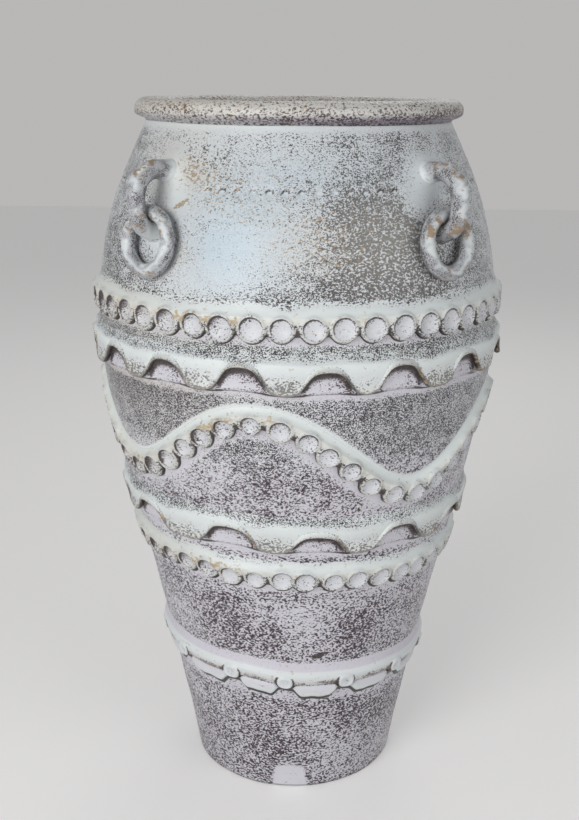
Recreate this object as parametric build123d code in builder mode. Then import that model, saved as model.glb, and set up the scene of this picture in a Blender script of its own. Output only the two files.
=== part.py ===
"""A tall ceramic storage jar: a wall thrown in three sections on a base slab, a rolled rim,
applied clay bands that are pressed and pinched by finger, four lugs and four loose rings.

Millimetres, +Z up. The origin is the centre of the foot, on the floor. Angles round the jar
are measured from the front, which faces -Y, and grow towards +X.
"""

import math
import os

from build123d import *

# Wall: the outside radius at each station, and its rise above the station below
foot_radius = 92.0
shin_rise = 131.0
shin_radius = 117.0
hip_rise = 168.0
hip_radius = 154.5
girth_rise = 131.0
girth_radius = 170.0
shoulder_rise = 90.0
shoulder_radius = 154.0
neck_rise = 63.0
neck_radius = 126.0
wall = 11.0
floor = 14.0
foot_bevel = 3.0

# Rim: a coil rolled round, flattened where it sits on the neck's top edge
rim_coil_radius = 9.6
rim_flat = 1.9
rim_set_back = 1.2

# Dimpled bands: a sloping strip with a row of finger-pressed cups
upper_cups_above_girth = 11.0
upper_cup_count = 47
upper_cup_radius = 9.6
lower_cup_count = 42
lower_cup_radius = 8.8
cup_lip_height = 6.2
cup_press_radius = 12.0
cup_press_depth = 3.0
cup_droop = 12.0
strip_crest_above_cups = 8.0
strip_blend_above_cups = 20.0
strip_foot_below_cups = 7.0
strip_crest_out = 5.6
strip_foot_out = 3.4

# Wavy bands: a thick strip whose lower edge is pushed up into arches, over a thin pressed lip
cups_to_wavy_gap = 6.9
upper_arch_count = 17
upper_arch_first = -14.4
lower_wavy_below_hip = 43.5
lower_arch_count = 13
lower_arch_first = 4.6
wavy_to_strip_gap = 6.5
arch_rise = 19.0
arch_edge_slack = 1.0
wavy_blend_above = 33.0
wavy_crest_above = 13.0
wavy_nose_above = 5.0
wavy_crest_out = 7.6
wavy_nose_out = 8.2
wavy_edge_out = 6.0
lip_above = 22.0
lip_out = 2.4

# Thrown sections are luted together behind the two wavy bands
joint_above_wavy_edge = 10.0

# Serpentine band: cups along a wave that fills the panel between the wavy bands
wave_count = 4
wave_first_crest = -10.0
wave_top_gap = 14.7
wave_foot_gap = 6.7
wave_cup_count = 52
wave_cup_radius = 8.8
wave_coil_radius = 6.4
wave_coil_out = 0.6

# Foot bands: two coils side by side, pinched together at intervals
foot_band_below_shin = 13.0
foot_band_gap = 0.8
foot_band_blend_above = 21.0
foot_band_crest_above = 7.0
foot_band_out = 5.4
foot_coil_width = 10.5
foot_coil_out = 4.0
foot_coil_bevel = 2.0
pinch_count = 14
pinch_first = -3.1
pinch_above = 3.6
pinch_press_radius = 9.0
pinch_press_depth = 2.6
pinch_notch_rise = 6.0
pinch_notch_width = 20.0

# Loose rings: each hangs in its lug, clear of the band below, and leans on the shoulder
ring_coil_radius = 6.0
ring_middle_radius = 22.0
ring_play = 0.5
ring_lean_gap = 0.5
ring_band_gap = 9.0

# Lug handles: a round clay loop that stands out from the shoulder, in an upright plane
lug_angle = 42.0
lug_coil_radius = 6.8
lug_low_below_hang = 11.0
lug_low_out = 18.7
lug_low_root_drop = 7.5
lug_low_root_inset = 10.0
lug_top_rise = 43.0
lug_top_out = 38.1
lug_top_root_drop = 6.0
lug_top_root_inset = 14.0
lug_top_bend = 19.0

# How far a profile that is cut back to the wall starts inside it, and how far a cutter reaches
bite = 5.0
cutter_reach = 30.0

# Heights that follow from these sizes
shin_height = shin_rise
hip_height = shin_height + hip_rise
girth_height = hip_height + girth_rise
shoulder_height = girth_height + shoulder_rise
neck_height = shoulder_height + neck_rise
upper_cup_height = girth_height + upper_cups_above_girth
upper_strip_top = upper_cup_height + strip_blend_above_cups
upper_wavy_height = upper_cup_height - upper_cup_radius - cups_to_wavy_gap - wavy_blend_above
lower_wavy_height = hip_height - lower_wavy_below_hip
lower_wavy_top = lower_wavy_height + wavy_blend_above
lower_cup_height = lower_wavy_height - wavy_to_strip_gap - strip_blend_above_cups
lower_joint_height = lower_wavy_height + joint_above_wavy_edge
upper_joint_height = upper_wavy_height + joint_above_wavy_edge
wave_crest_height = upper_wavy_height - wave_top_gap - wave_cup_radius
wave_trough_height = lower_wavy_top + wave_foot_gap + wave_cup_radius
foot_band_height = shin_height - foot_band_below_shin
ring_hang_height = upper_strip_top + ring_band_gap + ring_coil_radius + 2 * ring_middle_radius
lug_low_height = ring_hang_height - lug_low_below_hang
lug_low_root_height = lug_low_height - lug_low_root_drop
lug_top_height = lug_low_height + lug_top_rise
lug_top_root_height = lug_top_height - lug_top_root_drop

os.makedirs("parts", exist_ok=True)

wall_stations = [
    (foot_radius, 0),
    (shin_radius, shin_height),
    (hip_radius, hip_height),
    (girth_radius, girth_height),
    (shoulder_radius, shoulder_height),
    (neck_radius, neck_height),
]
wall_line = Spline(*[(radius, 0, height) for radius, height in wall_stations])


def wall_share(height):
    """Share of the wall's outline, from foot to neck, at which it reaches a height."""
    low, high = 0.0, 1.0
    for _ in range(50):
        middle = (low + high) / 2
        if (wall_line @ middle).Z < height:
            low = middle
        else:
            high = middle
    return (low + high) / 2


def wall_radius(height):
    """Outside radius of the wall at a height."""
    return (wall_line @ wall_share(height)).X


def outward(angle):
    """Level unit vector that points away from the jar's axis at an angle."""
    turn = math.radians(angle)
    return Vector(math.sin(turn), -math.cos(turn), 0)


def wall_plane(angle, height, droop=0.0):
    """Plane on the wall's outside, facing out, with X along the wall; droop turns it downwards."""
    tangent = wall_line % wall_share(height)
    lean = math.atan2(tangent.X, tangent.Z) + math.radians(droop)
    radial = outward(angle)
    facing = radial * math.cos(lean) - Vector(0, 0, 1) * math.sin(lean)
    along = Vector(0, 0, 1).cross(radial)
    origin = radial * wall_radius(height) + Vector(0, 0, height)
    return Plane(origin=origin, x_dir=along, z_dir=facing)


def level_places(count, height, first=0.0, droop=0.0):
    """Evenly spaced planes round the wall at one height."""
    step = 360 / count
    return [wall_plane(first + step * i, height, droop) for i in range(count)]


def turned(points):
    """Solid from a closed outline of (radius, height) points, turned about the jar's axis."""
    with BuildPart() as form:
        with BuildSketch(Plane.XZ):
            with BuildLine():
                Polyline(*points, close=True)
            make_face()
        revolve(axis=Axis.Z)
    return form.part


# The wall's outside as one filled form, which every applied piece is cut back to
with BuildPart() as core:
    with BuildSketch(Plane.XZ):
        with BuildLine():
            Spline(*wall_stations)
            Polyline((neck_radius, neck_height), (0, neck_height), (0, 0), (foot_radius, 0))
        make_face()
    revolve(axis=Axis.Z)

# The inside of the jar, from the floor up to the mouth
with BuildPart() as hollow:
    with BuildSketch(Plane.XZ):
        with BuildLine():
            Spline(*[(radius - wall, height) for radius, height in wall_stations])
            Polyline(
                (neck_radius - wall, neck_height), (0, neck_height), (0, 0), (foot_radius - wall, 0)
            )
        make_face()
    revolve(axis=Axis.Z)
    split(bisect_by=Plane.XY.offset(floor), keep=Keep.TOP)

# Base slab and three thrown sections
with BuildPart() as base_slab:
    add(core.part)
    split(bisect_by=Plane.XY.offset(floor), keep=Keep.BOTTOM)
    chamfer(base_slab.edges().filter_by(GeomType.CIRCLE).group_by(Axis.Z)[0], foot_bevel)

with BuildPart() as foot_section:
    add(core.part)
    add(hollow.part, mode=Mode.SUBTRACT)
    split(bisect_by=Plane.XY.offset(floor), keep=Keep.TOP)
    split(bisect_by=Plane.XY.offset(lower_joint_height), keep=Keep.BOTTOM)

with BuildPart() as belly_section:
    add(core.part)
    add(hollow.part, mode=Mode.SUBTRACT)
    split(bisect_by=Plane.XY.offset(lower_joint_height), keep=Keep.TOP)
    split(bisect_by=Plane.XY.offset(upper_joint_height), keep=Keep.BOTTOM)

with BuildPart() as shoulder_section:
    add(core.part)
    add(hollow.part, mode=Mode.SUBTRACT)
    split(bisect_by=Plane.XY.offset(upper_joint_height), keep=Keep.TOP)

# Rolled rim, seated on the neck's flat top edge
rim_middle_radius = neck_radius - wall + rim_set_back + rim_coil_radius
rim_middle_height = neck_height - rim_flat + rim_coil_radius
with BuildPart() as rim_coil:
    with BuildSketch(Plane.XZ):
        with Locations((rim_middle_radius, rim_middle_height)):
            Circle(rim_coil_radius)
    revolve(axis=Axis.Z)
    split(bisect_by=Plane.XY.offset(neck_height), keep=Keep.TOP)


def cup_press_offset():
    """Distance of the pressing ball's centre from the wall, along the cup's axis."""
    return cup_lip_height - cup_press_depth + cup_press_radius


def add_cups(places, cup_radius):
    """Round pads on the wall, each with a finger-pressed hollow, cut back to the wall."""
    with Locations(*places):
        Cylinder(cup_radius, 2 * cup_lip_height)
    add(core.part, mode=Mode.SUBTRACT)
    with Locations(*[place.offset(cup_press_offset()) for place in places]):
        Sphere(cup_press_radius, mode=Mode.SUBTRACT)


def dimpled_strip(cup_height):
    """Sloping strip behind a row of cups: long blend above, short step below."""
    blend = cup_height + strip_blend_above_cups
    crest = cup_height + strip_crest_above_cups
    foot = cup_height - strip_foot_below_cups
    return turned(
        [
            (wall_radius(blend) - bite, blend),
            (wall_radius(blend), blend),
            (wall_radius(crest) + strip_crest_out, crest),
            (wall_radius(foot) + strip_foot_out, foot),
            (wall_radius(foot) - bite, foot),
        ]
    )


with BuildPart() as upper_dimpled_band:
    add(dimpled_strip(upper_cup_height))
    upper_places = level_places(upper_cup_count, upper_cup_height, droop=cup_droop)
    add_cups(upper_places, upper_cup_radius)

with BuildPart() as lower_dimpled_band:
    add(dimpled_strip(lower_cup_height))
    lower_places = level_places(lower_cup_count, lower_cup_height, droop=cup_droop)
    add_cups(lower_places, lower_cup_radius)


def wave_point(turn):
    """Point of the serpentine line on the wall, at an angle from its first crest."""
    share = (1 - math.cos(math.radians(wave_count * turn))) / 2
    height = wave_crest_height + (wave_trough_height - wave_crest_height) * share
    return outward(wave_first_crest + turn) * wall_radius(height) + Vector(0, 0, height)


# The serpentine line takes a few points for each wave; its cups are even along its length
points_per_wave = 12
wave_step = 360 / (wave_count * points_per_wave)
wave_line = Spline(
    *[wave_point(wave_step * i) for i in range(wave_count * points_per_wave)], periodic=True
)


def wave_place(index):
    """Plane of one cup of the serpentine band."""
    point = wave_line @ (index / wave_cup_count)
    return wall_plane(math.degrees(math.atan2(point.X, -point.Y)), point.Z)


# Serpentine band: short lengths of coil from cup to cup, under the cups
with BuildPart() as serpentine_band:
    wave_places = [wave_place(i) for i in range(wave_cup_count)]
    wave_points = [place.offset(wave_coil_out).origin for place in wave_places]
    for start, end in zip(wave_points, wave_points[1:] + wave_points[:1]):
        with Locations(Plane(origin=start, z_dir=end - start)):
            Cylinder(
                wave_coil_radius,
                (end - start).length,
                align=(Align.CENTER, Align.CENTER, Align.MIN),
            )
    add_cups(wave_places, wave_cup_radius)


def arch_cutter(half_pitch):
    """Bell-shaped cutter for one arch: flat at both ends, with its top in the middle."""
    with BuildPart() as arch:
        with BuildSketch():
            with BuildLine():
                Spline(
                    (-half_pitch, -arch_edge_slack),
                    (0, arch_rise),
                    (half_pitch, -arch_edge_slack),
                    tangents=[(1, 0), (1, 0)],
                )
                Polyline(
                    (half_pitch, -arch_edge_slack),
                    (half_pitch, -cutter_reach),
                    (-half_pitch, -cutter_reach),
                    (-half_pitch, -arch_edge_slack),
                )
            make_face()
        extrude(amount=cutter_reach, both=True)
    return arch.part


def wavy_strip(edge_height):
    """Thick strip of a wavy band, before its arches are cut."""
    blend = edge_height + wavy_blend_above
    crest = edge_height + wavy_crest_above
    nose = edge_height + wavy_nose_above
    return turned(
        [
            (wall_radius(blend) - bite, blend),
            (wall_radius(blend), blend),
            (wall_radius(crest) + wavy_crest_out, crest),
            (wall_radius(nose) + wavy_nose_out, nose),
            (wall_radius(edge_height) + wavy_edge_out, edge_height),
            (wall_radius(edge_height) - bite, edge_height),
        ]
    )


def pressed_lip(edge_height):
    """Thin clay that is pressed on to the wall under a wavy band's arches."""
    lip = edge_height + lip_above
    return turned(
        [
            (wall_radius(lip) - bite, lip),
            (wall_radius(lip) + lip_out, lip),
            (wall_radius(edge_height) + lip_out, edge_height),
            (wall_radius(edge_height) - bite, edge_height),
        ]
    )


def half_pitch(edge_height, arch_count):
    """Half the distance from arch to arch, along the wavy band's nose."""
    return math.pi * (wall_radius(edge_height) + wavy_nose_out) / arch_count


with BuildPart() as upper_wavy_band:
    add(wavy_strip(upper_wavy_height))
    with Locations(*level_places(upper_arch_count, upper_wavy_height, upper_arch_first)):
        add(arch_cutter(half_pitch(upper_wavy_height, upper_arch_count)), mode=Mode.SUBTRACT)
    add(pressed_lip(upper_wavy_height))
    add(core.part, mode=Mode.SUBTRACT)

with BuildPart() as lower_wavy_band:
    add(wavy_strip(lower_wavy_height))
    with Locations(*level_places(lower_arch_count, lower_wavy_height, lower_arch_first)):
        add(arch_cutter(half_pitch(lower_wavy_height, lower_arch_count)), mode=Mode.SUBTRACT)
    add(pressed_lip(lower_wavy_height))
    add(core.part, mode=Mode.SUBTRACT)

# Foot bands: the upper coil has the pinched hollows, the lower coil is nicked under each
band_blend = foot_band_height + foot_band_blend_above
band_crest = foot_band_height + foot_band_crest_above
coil_top = foot_band_height - foot_band_gap
coil_foot = coil_top - foot_coil_width
upper_coil = turned(
    [
        (wall_radius(band_blend) - bite, band_blend),
        (wall_radius(band_blend), band_blend),
        (wall_radius(band_crest) + foot_band_out, band_crest),
        (wall_radius(foot_band_height) + foot_band_out, foot_band_height),
        (wall_radius(foot_band_height) - bite, foot_band_height),
    ]
)
lower_coil = turned(
    [
        (wall_radius(coil_top) - bite, coil_top),
        (wall_radius(coil_top) + foot_coil_out - foot_coil_bevel, coil_top),
        (wall_radius(coil_top) + foot_coil_out, coil_top - foot_coil_bevel),
        (wall_radius(coil_foot) + foot_coil_out, coil_foot + foot_coil_bevel),
        (wall_radius(coil_foot) + foot_coil_out - foot_coil_bevel, coil_foot),
        (wall_radius(coil_foot) - bite, coil_foot),
    ]
)

with BuildPart() as foot_band_upper:
    add(upper_coil)
    add(core.part, mode=Mode.SUBTRACT)
    press_out = foot_band_out - pinch_press_depth + pinch_press_radius
    pinch_places = level_places(pinch_count, foot_band_height + pinch_above, pinch_first)
    with Locations(*[place.offset(press_out) for place in pinch_places]):
        Sphere(pinch_press_radius, mode=Mode.SUBTRACT)

with BuildPart() as notch:
    with BuildSketch():
        Ellipse(pinch_notch_width / 2, pinch_notch_rise)
    extrude(amount=cutter_reach, both=True)

with BuildPart() as foot_band_lower:
    add(lower_coil)
    with Locations(*level_places(pinch_count, coil_foot, pinch_first)):
        add(notch.part, mode=Mode.SUBTRACT)
    add(core.part, mode=Mode.SUBTRACT)

# Lug loop and ring, worked out in an upright plane of (radius, height)
lug_bend = ring_coil_radius + lug_coil_radius + ring_play
lug_points = [
    (wall_radius(lug_top_root_height) - lug_top_root_inset, lug_top_root_height),
    (wall_radius(lug_top_height) + lug_top_out, lug_top_height),
    (wall_radius(lug_low_height) + lug_low_out, lug_low_height),
    (wall_radius(lug_low_root_height) - lug_low_root_inset, lug_low_root_height),
]


def unit(start, end):
    """Unit vector from one (radius, height) point to another."""
    return (Vector(*end) - Vector(*start)).normalized()


# The ring's hanging point is the centre of the lug's lower bend
to_top = unit(lug_points[2], lug_points[1])
to_root = unit(lug_points[2], lug_points[3])
half_opening = math.radians(to_top.get_angle(to_root)) / 2
hang = Vector(*lug_points[2]) + (to_top + to_root).normalized() * lug_bend / math.sin(half_opening)


def ring_lean():
    """Angle from straight down at which a hanging ring comes to lean on the wall."""
    reach = 2 * ring_middle_radius
    low, high = -math.radians(20), math.radians(40)
    for _ in range(40):
        middle = (low + high) / 2
        foot = Vector(hang.X + reach * math.sin(middle), hang.Y - reach * math.cos(middle))
        tangent = wall_line % wall_share(foot.Y)
        clear = (foot.X - wall_radius(foot.Y)) * tangent.Z
        if clear < ring_coil_radius + ring_lean_gap:
            low = middle
        else:
            high = middle
    return high


lean = ring_lean()
ring_middle = hang + Vector(math.sin(lean), -math.cos(lean)) * ring_middle_radius
print(f"rings hang at radius {hang.X:.3f}, height {hang.Y:.3f}, leaning {math.degrees(lean):.2f} degrees")

handle_angles = {
    "front_left": -lug_angle,
    "front_right": lug_angle,
    "back_left": lug_angle - 180,
    "back_right": 180 - lug_angle,
}
handles = {}
for side, angle in handle_angles.items():
    radial = outward(angle)
    upright = Plane(origin=(0, 0, 0), x_dir=radial, z_dir=radial.cross(Vector(0, 0, 1)))
    with BuildPart() as lug:
        with BuildLine(upright) as lug_line:
            FilletPolyline(*lug_points, radius=[lug_top_bend, lug_bend])
        with BuildSketch(Plane(origin=lug_line.line @ 0, z_dir=lug_line.line % 0)):
            Circle(lug_coil_radius)
        sweep()
        add(core.part, mode=Mode.SUBTRACT)
    tilt = Vector(0, 0, 1) * math.sin(lean) + radial * math.cos(lean)
    middle = radial * ring_middle.X + Vector(0, 0, ring_middle.Y)
    with BuildPart(Plane(origin=middle, z_dir=tilt)) as ring:
        Torus(ring_middle_radius, ring_coil_radius)
    handles[f"lug_{side}"] = lug.part
    handles[f"ring_{side}"] = ring.part

pieces = {
    "base_slab": base_slab.part,
    "foot_section": foot_section.part,
    "belly_section": belly_section.part,
    "shoulder_section": shoulder_section.part,
    "rim_coil": rim_coil.part,
    "upper_dimpled_band": upper_dimpled_band.part,
    "upper_wavy_band": upper_wavy_band.part,
    "serpentine_band": serpentine_band.part,
    "lower_wavy_band": lower_wavy_band.part,
    "lower_dimpled_band": lower_dimpled_band.part,
    "foot_band_upper": foot_band_upper.part,
    "foot_band_lower": foot_band_lower.part,
    **handles,
}
for name, piece in pieces.items():
    piece.label = name
    export_step(piece, f"parts/{name}.step")
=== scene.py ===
"""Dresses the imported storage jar: hand-pressed clay bands, lugs and rings under a rubbed white slip.

Sizes are in millimetres and angles in degrees, measured from the front (-Y) towards +X. In the arrays
of a piece, each row is one place round the jar and each column is one place across the piece.
"""

import logging
import math
from dataclasses import dataclass, field
from enum import Enum, IntEnum
from functools import cached_property

import bpy
import numpy as np
from mathutils import Matrix, Vector


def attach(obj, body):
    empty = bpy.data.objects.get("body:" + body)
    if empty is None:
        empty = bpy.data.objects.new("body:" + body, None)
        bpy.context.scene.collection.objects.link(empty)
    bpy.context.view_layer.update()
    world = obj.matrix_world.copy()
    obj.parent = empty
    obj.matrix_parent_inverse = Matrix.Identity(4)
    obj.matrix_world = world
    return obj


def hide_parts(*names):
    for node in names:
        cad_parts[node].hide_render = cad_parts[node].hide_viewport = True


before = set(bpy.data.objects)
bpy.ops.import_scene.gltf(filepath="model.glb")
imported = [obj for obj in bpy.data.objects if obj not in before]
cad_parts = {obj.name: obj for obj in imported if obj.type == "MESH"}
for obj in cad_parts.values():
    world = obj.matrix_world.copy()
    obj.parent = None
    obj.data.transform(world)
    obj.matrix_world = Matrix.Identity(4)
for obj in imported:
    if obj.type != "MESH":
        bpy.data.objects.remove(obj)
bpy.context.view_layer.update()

MM = 0.001
SEAM = 0.002
LOG = logging.getLogger("jar")
PATINA = "patina"
TINT = "tint"
FLECK_FLATTEN = 1.5
NOISE_SPAN = (0.3, 0.7)
FULL_SLIP = 0.97
NIBBLES = (5, 9, 14, 23)
# Where a smeared edge ends inside the wall, and where a tucked-under one does
BURIED = -1.4
TUCKED = -0.5

Array = np.ndarray
Colour = tuple[float, float, float]
Material = bpy.types.Material
Socket = bpy.types.NodeSocket
Feed = Socket | float | Colour


class Side(Enum):
    """The four places round the shoulder that carry a lug and its ring."""

    FRONT_LEFT = -42.0
    FRONT_RIGHT = 42.0
    BACK_LEFT = -138.0
    BACK_RIGHT = 138.0

    @property
    def word(self) -> str:
        """Name of the place as the nodes spell it."""
        return self.name.lower()


class Hand(IntEnum):
    """Seeds of the unevenness that the maker's hand left on the wall and the rim."""

    WALL = 3
    INSIDE = 4
    RILLS = 5
    SLIP = 21
    CRESCENTS = 23
    RIM_COIL = 31
    RIM_ROUND = 32
    RIM_SLIP = 33
    RIM_RUST = 34
    HALO = 40
    FOOT_WASH = 57


def smooth(low: float, high: float, value: Array | float) -> Array:
    """Smooth step from 0 at low to 1 at high.

    Args:
        low: Value at which the step starts.
        high: Value at which it ends; it may lie below low.
        value: Where to read the step.

    Returns:
        Numbers from 0 to 1.
    """
    share = np.clip((value - low) / (high - low), 0.0, 1.0)
    return share * share * (3 - 2 * share)


def bell(value: Array, width: float) -> Array:
    """Bell curve of height 1 and the given half width."""
    return np.exp(-((value / width) ** 2))


def blend(start: Array | float, end: Array | float, share: Array) -> Array:
    """Mix of two values by a share from 0 to 1."""
    return start + (end - start) * share


def soft_min(first: Array | float, second: Array, reach: float) -> Array:
    """Smaller of two values, rounded off where they cross.

    Args:
        first: One value.
        second: The other value.
        reach: How far from the crossing the rounding starts.

    Returns:
        The rounded smaller value.
    """
    near = np.clip(0.5 + 0.5 * (second - first) / reach, 0.0, 1.0)
    return blend(second, first, near) - reach * near * (1 - near)


def turn_between(angle: Array, other: Array | float) -> Array:
    """Signed angle from other to angle, within half a turn."""
    return (angle - other + 180.0) % 360.0 - 180.0


def facing_to(angle: Array, centre: float, width: float) -> Array:
    """Bell curve round one angle of the jar."""
    return bell(turn_between(angle, centre), width)


def all_round(count: int) -> Array:
    """Column of angles of a full turn, starting at the back."""
    return np.linspace(-180.0, 180.0, count, endpoint=False)[:, None]


def nearest_of(angle: Array, centres: Array) -> tuple[Array, Array]:
    """Finds the nearest of several places round the jar.

    Args:
        angle: Column of angles round the jar.
        centres: Angles of the places.

    Returns:
        Signed angle from the nearest place, and that place's number.
    """
    apart = turn_between(angle, centres[None, :])
    number = np.argmin(np.abs(apart), axis=1)[:, None]
    return np.take_along_axis(apart, number, axis=1), number


@dataclass
class Wobble:
    """Slow unevenness round the jar, as a sum of a few waves that close on themselves."""

    seed: int
    waves: tuple[int, ...] = (2, 3, 5, 7, 11)
    rise: float = 0.012
    sway: float = 1.3
    gain: float = 1.6
    phases: Array = field(init=False)

    def __post_init__(self) -> None:
        """Draws the phase of each wave."""
        self.phases = np.random.default_rng(self.seed).uniform(0, 2 * math.pi, (len(self.waves), 2))

    def at(self, angle: Array, height: Array | float = 0.0) -> Array:
        """Unevenness, about -1 to 1.

        Args:
            angle: Angles round the jar.
            height: Heights, which shift the waves.

        Returns:
            The unevenness at each place.
        """
        total = np.zeros(np.broadcast(angle, height).shape)
        for count, (first, second) in zip(self.waves, self.phases):
            shift = np.sin(np.asarray(height) * self.rise * count + second)
            total = total + np.sin(np.radians(angle) * count + first + self.sway * shift)
        return total / len(self.waves) * self.gain


@dataclass
class WallOutline:
    """Outside outline of the wall as (radius, height) stations joined by one smooth curve."""

    stations: tuple[tuple[float, float], ...] = (
        (92.0, 0.0),
        (117.0, 131.0),
        (154.5, 299.0),
        (170.0, 430.0),
        (154.0, 520.0),
        (126.0, 583.0),
    )
    samples: int = 1200
    uneven: float = 0.35
    heights: Array = field(init=False)
    radii: Array = field(init=False)
    leans: Array = field(init=False)

    def __post_init__(self) -> None:
        """Samples the curve once."""
        knots = np.array(self.stations)
        spans = np.hypot(*np.diff(knots, axis=0).T)
        along = np.concatenate(([0.0], np.cumsum(spans)))
        at = np.linspace(0.0, along[-1], self.samples)
        self.radii = self._curve(along, knots[:, 0], at)
        self.heights = self._curve(along, knots[:, 1], at)
        self.leans = np.arctan2(np.gradient(self.radii), np.gradient(self.heights))

    @staticmethod
    def _curve(knots: Array, values: Array, at: Array) -> Array:
        """Natural cubic curve through values.

        Args:
            knots: Where the values are given.
            values: What the curve passes through.
            at: Where to read it.

        Returns:
            The curve's values.
        """
        count, step = len(knots), np.diff(knots)
        system, right = np.eye(count), np.zeros(count)
        for i in range(1, count - 1):
            system[i, i - 1 : i + 2] = step[i - 1], 2 * (step[i - 1] + step[i]), step[i]
            ahead = (values[i + 1] - values[i]) / step[i]
            behind = (values[i] - values[i - 1]) / step[i - 1]
            right[i] = 6 * (ahead - behind)
        bends = np.linalg.solve(system, right)
        i = np.clip(np.searchsorted(knots, at) - 1, 0, count - 2)
        left, rest = at - knots[i], knots[i + 1] - at
        cubic = (bends[i] * rest**3 + bends[i + 1] * left**3) / (6 * step[i])
        line = (values[i] / step[i] - bends[i] * step[i] / 6) * rest
        return cubic + line + (values[i + 1] / step[i] - bends[i + 1] * step[i] / 6) * left

    def radius(self, height: Array | float) -> Array:
        """Outside radius at a height."""
        return np.interp(height, self.heights, self.radii)

    def lean(self, height: Array | float) -> Array:
        """Lean of the wall from upright at a height, in radians."""
        return np.interp(height, self.heights, self.leans)

    def place(self, angle: Array, height: Array, out: Array | float) -> Array:
        """Points on or off the wall.

        Args:
            angle: Angles round the jar.
            height: Heights on the wall.
            out: How far each point stands out, square to the wall.

        Returns:
            Points in millimetres, one more axis of three.
        """
        lean, turn = self.lean(height), np.radians(angle)
        out = out + self.uneven * Wobble(Hand.WALL).at(angle, height)
        radius = self.radius(height) + out * np.cos(lean)
        level = height - out * np.sin(lean)
        return np.stack(np.broadcast_arrays(radius * np.sin(turn), -radius * np.cos(turn), level), -1)


WALL = WallOutline()


class Nodes:
    """Short ways to add the few kinds of shader node that the finishes and the studio use."""

    def __init__(self, owner: Material | bpy.types.World) -> None:
        """Starts an empty tree.

        Args:
            owner: The material or world that the tree belongs to.
        """
        owner.use_nodes = True
        self.tree = owner.node_tree
        self.tree.nodes.clear()

    def add(self, kind: str, feeds: dict[str | int, Feed], **settings: str) -> bpy.types.Node:
        """Adds a node.

        Args:
            kind: The node's kind, without its usual first word.
            feeds: What goes into its inputs, by name or number: a link, a number or a colour.
            settings: The node's own choices.

        Returns:
            The new node.
        """
        node = self.tree.nodes.new(f"ShaderNode{kind}")
        for name, choice in settings.items():
            setattr(node, name, choice)
        for key, value in feeds.items():
            socket = node.inputs[key]
            if isinstance(value, Socket):
                self.tree.links.new(value, socket)
            elif isinstance(value, tuple) and len(socket.default_value) == 4:
                socket.default_value = (*value, 1.0)
            else:
                socket.default_value = value
        return node

    @cached_property
    def place(self) -> Socket:
        """The piece's own coordinates, which draw all patterns a little flatter than they are wide."""
        own = self.add("TexCoord", {}).outputs["Object"]
        return self.add("Mapping", {"Vector": own, "Scale": (1.0, 1.0, FLECK_FLATTEN)}).outputs["Vector"]

    def split(self, attribute: str) -> tuple[Socket, ...]:
        """The four channels of an attribute.

        Args:
            attribute: The attribute's name.

        Returns:
            Red, green, blue and alpha.
        """
        read = self.add("Attribute", {}, attribute_name=attribute)
        parts = self.add("SeparateColor", {0: read.outputs["Color"]})
        return (*parts.outputs, read.outputs["Alpha"])

    def noise(self, scale: float, detail: float, rough: float) -> Socket:
        """Noise on the piece's own coordinates."""
        feeds = {"Vector": self.place, "Scale": scale, "Detail": detail, "Roughness": rough}
        return self.add("TexNoise", feeds).outputs[0]

    def math(self, kind: str, first: Feed, second: Feed) -> Socket:
        """Sum, product or other arithmetic of two values."""
        return self.add("Math", {0: first, 1: second}, operation=kind).outputs[0]

    def span(self, value: Feed, low: float, high: float, start: float, end: float) -> Socket:
        """Maps low..high to start..end, held at both ends."""
        return self.add("MapRange", dict(enumerate((value, low, high, start, end)))).outputs[0]

    def mix(self, share: Feed, first: Feed, second: Feed) -> Socket:
        """Mix of two colours by a share."""
        return self.add("Mix", {0: share, 6: first, 7: second}, data_type="RGBA").outputs[2]

    def seen(self) -> Socket:
        """1 for rays that come from the camera or a mirror-like surface, 0 for rays that light the jar.

        Returns:
            The number for each ray.
        """
        path = self.add("LightPath", {}).outputs
        mirrored = self.math("MAXIMUM", path["Is Camera Ray"], path["Is Glossy Ray"])
        return self.math("MAXIMUM", mirrored, path["Is Transmission Ray"])

    def output(self, shader: bpy.types.Node, kind: str = "Material") -> None:
        """Adds the output of a material or a world."""
        self.add(f"Output{kind}", {"Surface": shader.outputs[0]})


@dataclass
class Paint:
    """Amounts of each layer of the finish, at each point of a piece or the same all over."""

    slip: Array | float = 0.0
    # Stains and dark marks, together with painted shade and painted shadow lines under and inside raised
    # parts.
    stain_and_shade: Array | float = 0.0
    rust: Array | float = 0.0
    earth: Array | float = 0.0
    lilac: Array | float = 0.0
    warm: Array | float = 0.0
    # Painted reflection: a blue-grey sheen painted where the lamps reflect.
    pearl: Array | float = 0.0
    coarse: Array | float = 0.0

    def lined(self, shape: tuple[int, int], columns: int, slip: float) -> "Paint":
        """The same paint with bare clay added beside it, for the inside of a wall.

        Args:
            shape: Rows and columns of the paint.
            columns: How many columns to add.
            slip: Slip on the added columns.

        Returns:
            The wider paint.
        """
        wider = ((0, 0), (0, columns))
        layers = {name: np.pad(np.broadcast_to(layer, shape), wider) for name, layer in vars(self).items()}
        layers["slip"][:, shape[1] :] = slip
        return Paint(**layers)

    def store(self, mesh: bpy.types.Mesh, shape: tuple[int, ...]) -> None:
        """Writes the amounts to the mesh as two colour attributes.

        Args:
            mesh: The mesh that the amounts belong to.
            shape: Number of points, or rows and columns of a sheet whose ends repeat its starts.
        """
        tints = (self.lilac, self.warm, self.pearl, self.coarse)
        for name, layers in ((PATINA, (self.slip, self.stain_and_shade, self.rust, self.earth)), (TINT, tints)):
            sheets = [np.clip(np.broadcast_to(layer, shape), 0, 1) for layer in layers]
            if len(shape) > 1:
                sheets = [np.pad(sheet, ((0, 1), (0, 1)), mode="wrap").T for sheet in sheets]
            rows = np.stack([sheet.ravel() for sheet in sheets], -1)
            attribute = mesh.color_attributes.new(name, "FLOAT_COLOR", "POINT")
            attribute.data.foreach_set("color", rows.astype(np.float32).ravel())


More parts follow.
